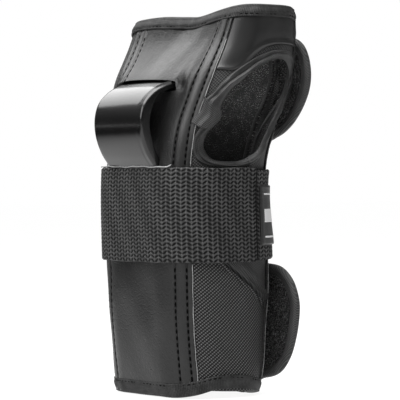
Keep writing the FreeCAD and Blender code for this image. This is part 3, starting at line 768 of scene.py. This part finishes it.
def leather_panel():
    """Palm leather: a grid below the slot and one above it, joined past the slot's ends."""
    width = float(thumb_seam(SLOT_HEIGHT) - little_seam(SLOT_HEIGHT))
    across = marks(width, 1.3, LITTLE_ROWS + tuple(width - row for row in THUMB_ROWS))
    s_slot, s_top = (leather_place(across, width, height) for height in (SLOT_HEIGHT, RIM_SIZING))
    lows, tops, below, above = above_foot(s_top), inside_rim(s_top), slot_low(s_slot), slot_high(s_slot)
    up_low, up_high = marks(150, 2.2) / 150, marks(34, 1.1) / 34
    z = np.concatenate([lows[:, None] + up_low * (below - lows)[:, None],
                        above[:, None] + up_high * (tops - above)[:, None]], 1)
    s = leather_place(across[:, None], width, z)
    gap_left, gap_right = s - little_seam(z), thumb_seam(z) - s
    depth = -0.55 + edge_round(np.minimum(gap_left, gap_right), 0.5)
    depth = depth - leather_surface(s, z, gap_left, gap_right)
    keep = np.ones(z.shape, bool)
    keep[:, len(up_low) - 1] = np.abs(s_slot + width / len(across) / 2) > SLOT_HALF
    # Painted highlight: the leather's colour is lightened over the puff between the thumb rows and along
    # their seam, above the strap.
    row_highlight = bump(gap_right - 6.0, 2.3) + bump(gap_right - 1.2, 1.2)
    row_highlight = row_highlight * step(z, 126, 150) * step(196 - z, 0, 16)
    closed_sheet("palm_leather", wall, s, z, depth, 0.6, LEATHER, keep=keep, relief=row_highlight)


def palm_pad_surface(s, z, left, right):
    """Hollow in the padding behind the slot."""
    return -3.2 * step(SLOT_HALF - np.abs(s), 0, 2) * bump(z - 167.5, 3.2)


def ulnar_surface(s, z, left, right):
    return rows_of_stitching(right, (2.2,))


def gusset_line(z):
    """The slanted seam between the coarse lower cloth and the gusset."""
    slanted = side_at(np.interp(z, [0, 46, 71, 120], [36, 27.6, -8.5, -15]), z)
    return np.minimum(slanted, near_edge(z) - 2.0)


def gusset_surface(s, z, left, right):
    """Creases where the gusset bunches, and a fold along its seam."""
    crease = 2.0 * bump(z - 52 - (right - 4) * 0.5, 2.2) * bump(right - 5, 6)
    crease = crease + 1.2 * bump(left - 10, 3) * bump(z - 64, 10)
    fold = 1.2 * bump(left - 3.2, 1.1) - 1.2 * bump(left - 0.6, 1.2)
    return rows_of_stitching(left, (5.0,), 0.35) + crease + fold


def lower_surface(s, z, left, right):
    """The lower panel rises a little where its cut edge is turned and sewn."""
    seam = step(z, 44, 48)
    return seam * (0.9 * bump(right - 1.9, 1.1) - 0.6 * bump(right - 4.2, 0.8)) - 0.9 * bump(right, 0.9)


def dorsal_surface(s, z, left, right):
    """Raised pocket for the stay, with a row of stitching down each side."""
    x = np.abs(-half_girth(z) - s + STAY_SHIFT)
    pocket = 0.9 * step(14.5 - x, 0, 3) * step(z, 9, 13) * step(164 - z, 0, 5)
    return pocket - 0.45 * bump(x - STAY_ROW, 0.6) * step(z, 6, 9) * step(167 - z, 0, 3)


def above_gusset_foot(s):
    return np.maximum(above_foot(s), 24)


# Each pad: its four edges, the depth of its outer face, cloth, surface and column spacing.
for name, left, right, low, high, outside, material, surface, columns in (
        ("palm", little_seam, thumb_seam, above_foot, inside_rim, 0.75, FOAM, palm_pad_surface, 2),
        ("ulnar", back_seam, little_seam, above_foot, inside_rim, 0.1, NYLON, ulnar_surface, 2),
        ("dorsal", far_edge, back_seam, above_foot, inside_rim, 0.1, NYLON, dorsal_surface, 1.5),
        ("thumb_lower", thumb_seam, gusset_line, above_foot, LOWER_END, -0.25, COARSE, lower_surface, 1.5),
        ("gusset", gusset_line, near_edge, above_gusset_foot, LOWER_END, 0.25, SOFT, gusset_surface, 1.5)):
    wall_sheet(f"{name}_pad", left, right, low, high, (outside, PAD_INSIDE), material,
               extra=surface, columns=columns)
leather_panel()


# --- thumb side and its opening ---
def outer_boundary():
    """Edge of the upper thumb side: leather seam, rim, opening edge and the strap."""
    up = np.linspace(UPPER_START, 209, 160)
    seam, edge = stack(thumb_seam(up), up), stack(near_edge(up), up)
    seam = seam[seam[:, 1] < inside_rim(seam[:, 0])]
    edge = edge[edge[:, 1] < inside_rim(edge[:, 0])]
    top, low = (np.linspace(seam[k, 0], edge[k, 0], 60) for k in (-1, 0))
    return np.concatenate([seam, stack(top, inside_rim(top)), edge[::-1], stack(low[::-1], UPPER_START)])


def thumb_upper():
    """Padding of the upper thumb side, as rings from the opening out to the panel's edge."""
    steps = np.concatenate([np.linspace(0, 0.16, 5), np.linspace(0.2, 0.93, 15), [0.97, 1.0]])
    inner = (opening_reach + 1.6)[:, None]
    reach = inner + (ring_reach(outer_boundary())[:, None] - inner) * steps
    s, z = MIDDLE_S + reach * np.cos(RING)[:, None], MIDDLE_Z + reach * np.sin(RING)[:, None]
    outside = 0.25 + 0.6 * step(s - near_edge(z), -3, 0)
    closed_sheet("thumb_upper_pad", wall, s, z, outside, PAD_INSIDE, NYLON, wrap=True)


# Outer edge of the tape folded round the opening, seen from the thumb side: Y, height.
TAPE_EDGE = (
    (24.8, 184.3), (38, 180), (40.5, 168), (39, 160.5), (27, 144.8), (16, 132.4), (10, 124.6),
    (-1.1, 122.3), (-16, 122.3), (-22.2, 124.4), (-24.9, 129), (-25.2, 135.5), (-23, 141.1),
    (-20.8, 146), (-20.8, 152.5), (-19.8, 157.3), (-16.9, 160.3), (-14.4, 163.8), (-10, 168.7),
    (-1.5, 175.2), (12.5, 181.8))
# Each place of the tape's profile: share of the visible width, mm beyond it, depth.
TAPE_PROFILE = (
    (1.0, 0.0, 0.15), (1.0, 0.0, -0.35), (0.93, 0, -0.75), (0.86, 0, -0.95), (0.79, 0, -1.05),
    (0.72, 0, -1.2), (0.65, 0, -1.3), (0.59, 0, -1.4), (0.53, 0, -1.5), (0.48, 0, -1.55),
    (0.43, 0, -1.6), (0.38, 0, -1.65), (0.32, 0, -1.7), (0.26, 0, -1.7), (0.2, 0, -1.6),
    (0.14, 0, -1.5), (0.02, 0, -0.8), (0, -0.5, 0.4), (0, -0.8, 2.0),
    (0, -0.9, 3.6), (0, -0.8, 5.2), (0, -0.4, 6.8), (0, 0.4, 7.7), (0, 2.0, 8.0), (0, 4.5, 7.9),
    (0, 4.6, 7.2), (0, 2.0, 7.1), (0, 1.0, 6.2), (0, 0.9, 3.2), (0, 1.0, 0.7), (0.5, 0.4, 0.2))
tape_reach = np.maximum(ring_reach(resample(from_side(TAPE_EDGE), 0.8, closed=True)), opening_reach + 2.6)


def opening_band(name, angles, raise_by, wider, closed, material, skew=0.0):
    """Soft tape folded over the edge of the thumb opening, over a range of angles."""
    inside = reach_at(angles, opening_reach)[:, None]
    width = reach_at(angles, tape_reach)[:, None] - inside + wider
    share, beyond, depth = np.array(TAPE_PROFILE).T[:, None, :]
    along = angles[:, None] - skew * share * (depth < 0.3)
    outside = (depth < 0.3) & (share > 0.01)
    folds = (0.3 * np.sin(along * 9 + 3 * np.sin(along * 2.0) + share * 2)
             + 0.22 * np.sin(along * 17 + 2 * np.sin(along * 5)) * np.sin(along * 3 + 1))
    drift = 0.12 * np.sin(along * 2.5)
    crease = 0.75 * bump(share - 0.4 - drift, 0.09) - 0.7 * bump(share - 0.6 - drift, 0.1)
    calm = 1 - 0.5 * step(np.cos(along), 0.1, 0.8)
    swell = (folds + crease) * np.sin(share * math.pi) * calm + raise_by
    depth = np.where(depth < 0, depth * calm, depth)
    depth = depth - np.where(outside, swell * (share < 0.95) + raise_by * (share >= 0.95) * 0.5,
                             raise_by * (depth < 6))
    reach = inside + share * width + beyond - raise_by * 0.6 * (share < 0.1) * (depth < 7)
    reach = reach + 0.3 * np.sin(along * 11 + 1) * (1 - share) * (depth < 6)
    points = wall(MIDDLE_S + reach * np.cos(along), MIDDLE_Z + reach * np.sin(along), depth)
    swept(name, points, stack(along * 30, reach, depth), material, closed=closed)


def smooth_low(s):
    """Height of the smooth panel's lower edge."""
    edge = from_side(SMOOTH_EDGE)
    order = np.argsort(edge[:, 0])
    return curve(s, edge[order, 0], edge[order, 1])


def smooth_panel_surface(s, z, left, right):
    """Turned lower edge, a raised tongue at its corner and a hollow above."""
    low = smooth_low(s)
    turned = 0.45 * bump(z - low - 1.0, 1.2)
    tongue = 1.0 * bump(s - left - 5, 5) * bump(z - low - 1.5, 2.0) * bump(left - 5, 6)
    return turned + tongue - 0.6 * bump(left - 9, 5) * bump(z - 190, 12)


thumb_upper()
opening_band("thumb_opening_tape", RING, 0.0, 0.0, True, FOLDED)
opening_band("thumb_opening_tape_end", np.linspace(3.05, 3.5, 34), 0.75, 1.2, False, SOFT, skew=0.22)
opening_band("thumb_opening_tape_side", np.linspace(-1.46, 0.5, 120), 0.45, 0.3, False, FOLDED)
wall_sheet("thumb_smooth_panel", lambda z: thumb_seam(z) + 0.3, lambda z: near_edge(z) - 0.5, smooth_low,
           inside_rim, (-0.35, 0.5), COATED, extra=smooth_panel_surface, columns=1.2, rows=1.2)
wall_sheet("inner_lining_cloth", far_edge, near_edge, above_foot, inside_rim, (6.0, 6.9), LINING,
           columns=1.6, rows=1.6, round_edges=0.2,
           keep=lambda s, z: (past_opening(s, z) >= 1.8) | (s <= 0))


# --- bindings ---
def fold_profile(reach, crown, inside_share):
    """Cross-section of a tape folded over the wall's edge: (depth, distance in from the edge)."""
    outside = [(-0.55 - crown * math.sin(math.pi * min(1, 0.18 + t)), reach * (1 - t))
               for t in np.linspace(0, 0.8, 9)]
    turn = [(3.4 - 4.1 * math.cos(a), 0.9 - 1.0 * math.sin(a)) for a in np.linspace(0.1, math.pi, 12)]
    flap = reach * inside_share
    inside = [(7.7, 2.0), (7.8, flap), (7.1, flap), (6.9, 1.4), (0.1, 1.4), (0.0, reach)]
    return np.array(outside + turn + inside)


def folded_tape(name, s, z, inward, reach, crown, row, inside_share):
    """Tape folded over an edge of the wall.  row is where its stitching pulls it down."""
    depth, aside = fold_profile(reach, crown, inside_share).T[:, None, :]
    along = path_lengths(stack(s, z))[:, None]
    lumps = 0.12 * np.sin(along / 2.3) + 0.1 * np.sin(along / 5.1 + 1) + 0.06 * np.sin(along / 1.3)
    depth = depth + (0.35 * bump(aside - row, 0.55) - lumps) * (depth < -0.2)
    loops = wall(s[:, None] + inward[0] * aside, z[:, None] + inward[1] * aside, depth)
    swept(name, loops, stack(along, aside, depth), TAPE)


round_s = np.linspace(far_edge(RIM_SIZING) + 0.2, near_edge(RIM_SIZING) - 0.2, 420)
foot_s = np.linspace(far_edge(FOOT_SIZING) + 0.2, near_edge(FOOT_SIZING) - 0.2, 380)
edge_z = np.linspace(6.8, 200, 240)
# Each taped edge: its places, the way in from it, the tape's reach and crown, its row of
# stitching, the share of its reach that it has inside, and the depth of the thread.
TAPED_EDGES = {
    "top": (round_s, rim(round_s), (0, -1), 6.6, 0.9, 5.3, 0.8, -0.85),
    "bottom": (foot_s, foot(foot_s), (0, 1), 7.6, 0.8, 6.4, 0.8, -0.8),
    "near": (near_edge(edge_z), edge_z, (-1, 0), 5.6, 0.55, 4.4, 0.45, -0.8),
    "far": (far_edge(edge_z), edge_z, (1, 0), 5.6, 0.55, 4.4, 0.45, -0.8)}
for edge, tape in TAPED_EDGES.items():
    folded_tape(f"{edge}_edge_tape", *tape[:-1])


# --- stitching ---
def stitch_rows():
    """Every row of stitching on the wall; the strap hides the middle of the leather's rows."""
    for side, seam, sign, rows in (("little", little_seam, 1, LITTLE_ROWS),
                                   ("thumb", thumb_seam, -1, THUMB_ROWS)):
        for k, row in enumerate(rows):
            for part, low, high in (("lower", 8.5, 70.5), ("upper", 122.5, 196.5)):
                z = np.arange(low, high, 1.0)
                s = seam(z) + sign * row * seam_shrink(z)
                depth = -0.97 - leather_surface(s, z, s - little_seam(z), thumb_seam(z) - s)
                wall_stitches(f"leather_stitches_{side}_{k + 1}_{part}", s, z, depth, 3.6, 2.3, 0.4)
    for edge, (s, z, inward, _, _, row, _, depth) in TAPED_EDGES.items():
        wall_stitches(f"{edge}_tape_stitches", s + inward[0] * row, z + inward[1] * row, depth)
    z = np.arange(29, 70, 1.0)
    wall_stitches("gusset_stitches", gusset_line(z) - 2.0, z, -0.35, 3.2, 2.2, 0.36)
    z = np.arange(9, 70, 1.0)
    for number, side in enumerate((-1, 1)):
        s = STAY_SHIFT - half_girth(z) + side * STAY_ROW
        wall_stitches(f"stay_stitches_{number + 1}", s, z, -0.25, 3.2, 2.2, 0.36)


stitch_rows()


# --- strap ---
STRAP_LOW, STRAP_MIDDLE, STRAP_HIGH = 71.5, 96.5, 121.5
BACK_MIDDLE = float(half_girth(STRAP_MIDDLE))            # distance round to the middle of the back
SPLIT = float(side_at(11.0, STRAP_MIDDLE))               # where the strap's loose end starts
LABEL_LEFT, LABEL_RIGHT = float(side_at(12.9, STRAP_MIDDLE)), BACK_MIDDLE - 27
LABEL_STRIPES = ((84.3, 85.2), (107, 107.9), (92.5, 99.5))
COLUMN, ROW = 5.0, 2.16                                  # the weave's chevrons


def webbing_height(s, z):
    """Relief of the chevron weave, 0 to 1, over places on the strap."""
    across = np.abs(np.mod(s / COLUMN, 1.0) - 0.5) * 2
    row = np.mod((z + 1.55 * across + 0.1 * np.sin(s / 3.1 + z)) / ROW, 1.0)
    spine = bump(across, 0.2) + bump(across - 1, 0.2)
    gap = bump(np.minimum(row, 1 - row), 0.2) * np.clip(1.15 - 1.25 * spine, 0, 1)
    lumps = 0.05 * np.sin(s / 2.7 + z / 5.3)
    return np.clip((0.62 + 0.25 * np.sin(math.pi * row) ** 0.7 + 0.2 * spine + lumps) * (1 - gap), 0, 1)


def wall_loose(s, z, depth):
    """As wall, but without the softness of the cloth below, so a strap lies smooth."""
    x, y, nx, ny = flat_place(s, z)
    out = 0.12 * np.sin(s / 19 + z / 23) - depth - 1.1 * step(100 - z, 0, 26) * step(-s, 40, 60)
    return in_frame(x + nx * out, y + ny * out, z)


def webbing_band(name, start, end, low, high, depths, **kind):
    """Woven strap laid on the wall, with its weave as real relief on the outside."""
    s = np.arange(start, end, 0.42)[:, None]
    share = np.concatenate([np.linspace(0, 1, 134), np.linspace(1, 0, 4)])
    outside = np.arange(len(share)) < 134
    z = low + (high - low) * share + 0.18 * np.sin(s / 4.7) * (np.abs(share - 0.5) * 2) ** 6
    # The relief is stored too, so the webbing's colour darkens in its gaps as painted shade.
    relief = webbing_height(s, z) * outside
    border = step(np.minimum(share, 1 - share) * (high - low), 0.0, 0.9)
    depth = np.where(outside, depths[0] + 0.65 - 0.85 * relief * border, depths[1])
    return swept(name, wall_loose(s, z, depth), stack(s, z, 0.0), WEBBING, relief=relief, **kind)


def label_surface(s, z, left, right):
    return 0.25 * bump(left - 1.2, 1.2) + 0.2 * np.sin(s / 7) * np.sin(z / 9)


def label_sheet(name, inset, low, high, depths, material, round_edges, rows):
    """Sheet of the label, laid on the strap's loose end and riding on the strap_closure body."""
    wall_sheet(name, level(LABEL_LEFT + inset), level(LABEL_RIGHT - inset), level(low), level(high),
               depths, material, extra=label_surface, place=wall_loose, body="strap_closure",
               round_edges=round_edges, columns=1.2, rows=rows)


def pale_line(name, s, z, depth, aside, deep, upright=True, corners=6, place=wall):
    """Thin raised thread or cut edge through places on the wall, aside by deep mm thick."""
    turn = np.linspace(0, 2 * math.pi, corners, endpoint=False)
    s, z = s[:, None] + upright * aside * np.cos(turn), z[:, None] + (not upright) * aside * np.cos(turn)
    depth = np.asarray(depth)[..., None] + deep * np.sin(turn)
    cloth = stack(z, s, depth) if upright else stack(s, z, depth)
    swept(name, place(s, z, depth), cloth, EDGE)


webbing_band("wrist_strap_webbing", 24 - BACK_MIDDLE, SPLIT - 0.6, STRAP_LOW, STRAP_HIGH, (-3.0, -1.2))
tail = webbing_band("strap_end_webbing", SPLIT + 0.2, BACK_MIDDLE + 20, STRAP_LOW + 1, STRAP_HIGH - 1,
                    (-3.0, -2.05), body=None)
label_sheet("woven_label_cloth", 0, 80.5, 112.0, (-4.15, -3.0), LABEL, 0.5, 1.2)
for number, (low, high) in enumerate(LABEL_STRIPES):
    label_sheet(f"label_stripe_{number + 1}", 3, low, high, (-4.28, -3.9), MARK, 0.1, 0.5)


def pale_lines():
    """Selvage thread in front of the blade, the leather's raw edge, the lining past the near tape."""
    s = np.arange(-34.0, 30.0, 0.7)
    z = 122 + 0.2 * np.sin(s / 4.3) + 0.15 * np.sin(s / 1.7 + 1) + 1.2 * step(s, 27, 31)
    pale_line("strap_selvage", s, z, -2.9 - 0.25 * np.sin(s / 3.1), 0.33, 0.3, upright=False,
              corners=8, place=wall_loose)
    for part, low, high in (("lower", 8.5, 71), ("upper", 122, 190)):
        z = np.arange(low, high, 0.8)
        s = thumb_seam(z) + 0.05 + 0.06 * np.sin(z / 1.9)
        pale_line(f"leather_cut_edge_{part}", s, z, -0.62, 0.2, 0.24)
    z = np.arange(9.0, 70.5, 0.8)
    pale_line("near_tape_pale_edge", near_edge(z) - 2.2 + 0.4 * np.sin(z / 2.9), z, -1.25, 0.25, 0.25)


pale_lines()


# --- palm blade ---
BLADE_HALF, BLADE_THICK, BLADE_CORNER = 21.3, 1.4, 1.25
BLADE_FLAT = (-19.9, 17.2)      # the domed middle, between the left rim and the ridges
BLADE_SPACING = 1.3


def blade_profile():
    """Across the blade: domed face, fine ridges on the right, rounded rims with a turned-in lip."""
    half, thick, corner = BLADE_HALF, BLADE_THICK, BLADE_CORNER
    top = [(x, thick + 0.35 * math.cos(x / half * math.pi / 2)) for x in np.linspace(*BLADE_FLAT, 26)]
    ridges = [(BLADE_FLAT[1] + 0.3 * k, thick + 0.04 + (0.5 if k % 3 == 0 else 0.0)) for k in range(1, 10)]
    right = [(half - corner + corner * math.sin(a), thick - 0.15 - 1.2 * (1 - math.cos(a)))
             for a in np.linspace(0.25, math.pi / 2, 7)]
    right += [(half, -0.8), (half, -1.1), (half - 0.9, -thick), (half - 2.1, -thick), (half - 2.2, -1.35)]
    bottom = [(x, -thick) for x in np.linspace(half - 2.6, 2.6 - half, 20)]
    return np.array(top + ridges + right + bottom + [(-x, y) for x, y in right[::-1]])


def palm_blade():
    """Glossy moulded blade that runs up the palm and into the slot."""
    line = resample(PALM_BLADE, BLADE_SPACING)
    along = np.gradient(line, axis=0)
    along /= np.linalg.norm(along, axis=1)[:, None]
    x, lift = blade_profile().T[:, None, :]
    y, z = line.T[:, :, None]
    is_ridge = (x > BLADE_FLAT[1] + 0.1) & (lift > BLADE_THICK)
    raised = np.maximum(lift - BLADE_THICK - 0.04, 0) * is_ridge
    turned = (np.abs(x) > BLADE_HALF - 2.15) & (lift < -0.7)
    flange = 3.4 * step(z, 108, 138) * (1 - 0.8 * step(z, 154, 163))
    lift = lift - raised * (1 - step(z, 150, 157)) - flange * turned
    points = in_frame(x, y - along[:, 1:] * lift, z + along[:, :1] * lift)
    distance = np.arange(len(line))[:, None] * BLADE_SPACING
    swept("palm_blade_moulding", points, stack(x, distance, lift), BLADE)


palm_blade()


# --- closing tabs ---
# Fractions of the way from a tab's edge to its middle, close together over the rounded rim.
TAB_STEPS = np.array([0, 0.004, 0.012, 0.025, 0.045, 0.07, 0.1, 0.135, 0.17, 0.2, 0.23, 0.26, 0.3,
                      0.36, 0.44, 0.54, 0.66, 0.8, 0.92, 1.0])
HOOK_INSET = 5.6


class Tab:
    """Padded tab built out from a fold line on the opening's far edge; its inner side takes the closure."""

    def __init__(self, body, outline, foot_line, angle):
        self.body = body
        self.outline = resample(outline, 1.6, closed=True)
        self.middle = self.outline.mean(axis=0)
        self.foot_line = foot_line
        turn = math.radians(angle)
        self.out = (math.cos(turn), math.sin(turn))
        self.inner = (math.sin(turn), -math.cos(turn))

    def point(self, distance, z, lift):
        """Place at a distance out from the fold, lifted off the tab's middle surface."""
        x0, slope_x, y0, slope_y = self.foot_line
        lift = lift + 0.00088 * np.clip(distance, 0, None) ** 2
        return in_frame(x0 + slope_x * z + self.out[0] * distance + self.inner[0] * lift,
                        y0 + slope_y * z + self.out[1] * distance + self.inner[1] * lift, z)

    def piece(self, name, inset, front, back, material):
        """Closed piece from inset mm in from the outline to the middle, between two lifts."""
        gap = self.outline - self.middle
        reach = np.linalg.norm(gap, axis=1)[:, None]
        edge = np.minimum(inset + (reach - inset) * TAB_STEPS, reach - 0.02)
        place = self.middle + gap[:, None, :] * (1 - edge / reach)[:, :, None]
        return closed_sheet(f"{self.body}_{name}", self.point, place[..., 0], place[..., 1], front(edge),
                            back(edge), material, wrap=True, body=None)


def puffy(edge):
    """Half thickness: a rounded rim, then a shallow quilted field."""
    rim_part = 2.3 * np.sqrt(np.clip(1 - ((edge - 2.4) / 2.45) ** 2, 0, 1))
    field = 1.35 + 0.25 * step(edge, 6, 11)
    share = step(edge, 2.4, 4.8)
    return rim_part * (1 - share) + field * share


def make_tab(body, outline, foot_line, angle):
    tab = Tab(body, outline, foot_line, angle)
    pad = tab.piece("cushion", 0.0, lambda e: puffy(e) + 0.05 * np.sin(e * 3), lambda e: -puffy(e), SOFT)
    hook = tab.piece("hook_field", HOOK_INSET, lambda e: 2.15 - edge_round(e - HOOK_INSET, 0.5),
                     lambda e: 1.0 + 0 * e, HOOKS)
    x0, slope_x, y0, slope_y = foot_line
    middle = float(tab.middle[1])
    ends = [tuple(in_frame(x0 + slope_x * middle + tab.out[0] * distance,
                           y0 + slope_y * middle + tab.out[1] * distance, middle))
            for distance in (-1.5, 3.5)]
    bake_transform(pad)
    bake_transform(hook)
    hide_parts(f"{body}_pad", f"{body}_cover", f"{body}_binding")
    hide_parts(f"{body}_hook_patch")


# Tab outlines as (distance out from the fold, height).
HAND_OUTLINE = ((-3.2, 190.5), (2, 192), (8, 191), (13.5, 187.5), (18, 181), (21, 172.5),
                (21.6, 164.5), (20, 157), (16.5, 149.5), (11.5, 143), (4.5, 138.2), (-3.2, 138),
                (-3.6, 165))
FOREARM_OUTLINE = ((-3.2, 69.5), (6, 69.8), (17, 68.2), (26, 62), (31.4, 53), (33, 45), (31.8, 33),
                   (27.6, 20.5), (20, 11.6), (9, 8.2), (-3.2, 8.6), (-3.6, 39))
# The fold's line is X and its slope with height, then Y and its slope; the tab's angle follows.
make_tab("hand_tab", HAND_OUTLINE, (8.6, 0.111, 27.9, 0.083), 12)
make_tab("forearm_tab", FOREARM_OUTLINE, (20.5, 0, 30.3, 0.059), 3)


# --- pieces kept from the frame, and what the new pieces stand for ---
tuple(in_frame(45, 11.0, STRAP_MIDDLE))
tuple(in_frame(45, 14.2, STRAP_MIDDLE))
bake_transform(tail)
STANDS_FOR = {
    "palm_leather": ["palm_leather_panel"], "palm_pad": ["palm_foam"],
    "ulnar_pad": ["ulnar_panel", "ulnar_foam"], "dorsal_pad": ["dorsal_panel", "dorsal_foam"],
    "thumb_lower_pad": ["thumb_side_lower_panel"], "gusset_pad": ["gusset_panel"],
    "thumb_upper_pad": ["thumb_side_foam"], "thumb_smooth_panel": ["thumb_side_upper_panel"],
    "thumb_opening_tape": ["thumb_hole_binding"], "inner_lining_cloth": ["inner_lining"],
    "top_edge_tape": ["top_binding"], "bottom_edge_tape": ["bottom_binding"],
    "near_edge_tape": ["near_edge_binding"], "far_edge_tape": ["far_edge_binding"],
    "wrist_strap_webbing": ["wrist_strap"], "strap_end_webbing": ["strap_end"],
    "woven_label_cloth": ["woven_label"], "palm_blade_moulding": ["palm_splint"]}
for piece, nodes in STANDS_FOR.items():
    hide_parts(*nodes)
for node, material in (("dorsal_splint", STAY), ("strap_hook_patch", HOOKS), ("strap_loop_patch", LOOPS)):
    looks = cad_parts[node].data.materials
    looks.clear()
    looks.append(material)


# --- floor, light and camera ---
def flat_rectangle(name, low, high, height, material):
    """Flat rectangle between two corners, for the floor and the dark card."""
    mesh = bpy.data.meshes.new(name)
    corners = ((low[0], low[1]), (high[0], low[1]), (high[0], high[1]), (low[0], high[1]))
    mesh.from_pydata([(x, y, height) for x, y in corners], [], [(0, 1, 2, 3)])
    mesh.materials.append(material)
    return add_object(name, mesh)


def matt(name, tone):
    """Grey material without shine, and its shader."""
    made, shader = new_material(name)
    shader.inputs["Base Color"].default_value = (tone, tone, tone, 1)
    shader.inputs["Specular IOR Level"].default_value = 0
    return made, shader


def paper_floor():
    paper, shader = matt("paper", 0.17)
    shader.inputs["Roughness"].default_value = 0.9
    shader.inputs["Emission Color"].default_value = (1, 1, 1, 1)
    shader.inputs["Emission Strength"].default_value = 0.895
    floor = flat_rectangle("floor", (-6, -6), (6, 6), -0.0004, paper)
    floor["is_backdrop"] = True


def white_room():
    """Soft light from above; the camera itself sees plain white."""
    world = bpy.data.worlds.new("studio")
    bpy.context.scene.world = world
    world.use_nodes = True
    tree = world.node_tree
    spot = texture(tree, "ShaderNodeTexCoord", "Generated")
    glow = texture(tree, "ShaderNodeSeparateXYZ", "Z", Vector=spot).between(0.1, 0.8) * 0.7 + 0.05
    seen = texture(tree, "ShaderNodeLightPath", "Is Camera Ray")
    background = tree.nodes["Background"]
    feed(tree, background.inputs["Strength"], glow.math("MAXIMUM", seen))
    background.inputs["Color"].default_value = (1, 1, 1, 1)


def dark_card(direction):
    """Black card that fades in over the floor; only reflections see it."""
    black, shader = matt("black_card", 0)
    feed(black.node_tree, shader.inputs["Alpha"], Cloth(black.node_tree, False).x.between(250, 680))
    card = flat_rectangle("dark_card", (0.1, -1.5), (3, 1.5), 0.0005, black)
    card.rotation_euler = (0, 0, direction)
    card.visible_camera = card.visible_diffuse = card.visible_shadow = card.visible_transmission = False
    card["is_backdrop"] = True


def aimed(name, data, spot, aim):
    """Lamp or camera at a spot, turned towards another."""
    thing = add_object(name, data)
    thing.location = spot
    thing.rotation_euler = (aim - spot).to_track_quat("-Z", "Y").to_euler()
    return thing


TURN = math.radians(52)
RIGHT = Vector((math.cos(TURN), math.sin(TURN), 0))
TOWARDS = Vector((math.sin(TURN), -math.cos(TURN), 0))
MIDDLE = RIGHT * 0.007 - Vector((SHIFT[0], SHIFT[1], 0)) * MM
UP = Vector((0, 0, 1))
paper_floor()
white_room()
dark_card(math.pi + TURN - math.radians(14))
# Each softbox: where it stands, the height it aims at, its width, height and power.
for name, spot, aim, width, height, power in (
        ("top_light", TOWARDS * 0.25 - RIGHT * 0.2 + UP * 1.1, 0.1, 1.1, 1.1, 25),
        ("palm_light", Vector((0.1, -1.1, 0.6)), 0.14, 0.6, 0.5, 4),
        ("side_light", Vector((-1.0, 0, 1.0)), 0.13, 1.1, 0.8, 8)):
    lamp = bpy.data.lights.new(name, "AREA")
    lamp.shape = "RECTANGLE"
    lamp.size, lamp.size_y = width, height
    lamp.energy = power
    aimed(name, lamp, MIDDLE + spot, MIDDLE + UP * aim)

camera = bpy.data.cameras.new("camera")
camera.lens = 238
camera.sensor_width = 36
camera.clip_start = 0.05
bpy.context.scene.camera = aimed("camera", camera, MIDDLE + TOWARDS * 1.43 + UP * 0.1215,
                                 MIDDLE + UP * 0.104)
bpy.context.scene.view_settings.view_transform = "Standard"

low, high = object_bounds()
{"cad": [list(cad_low), list(cad_high)], "visual": [list(low), list(high)]}
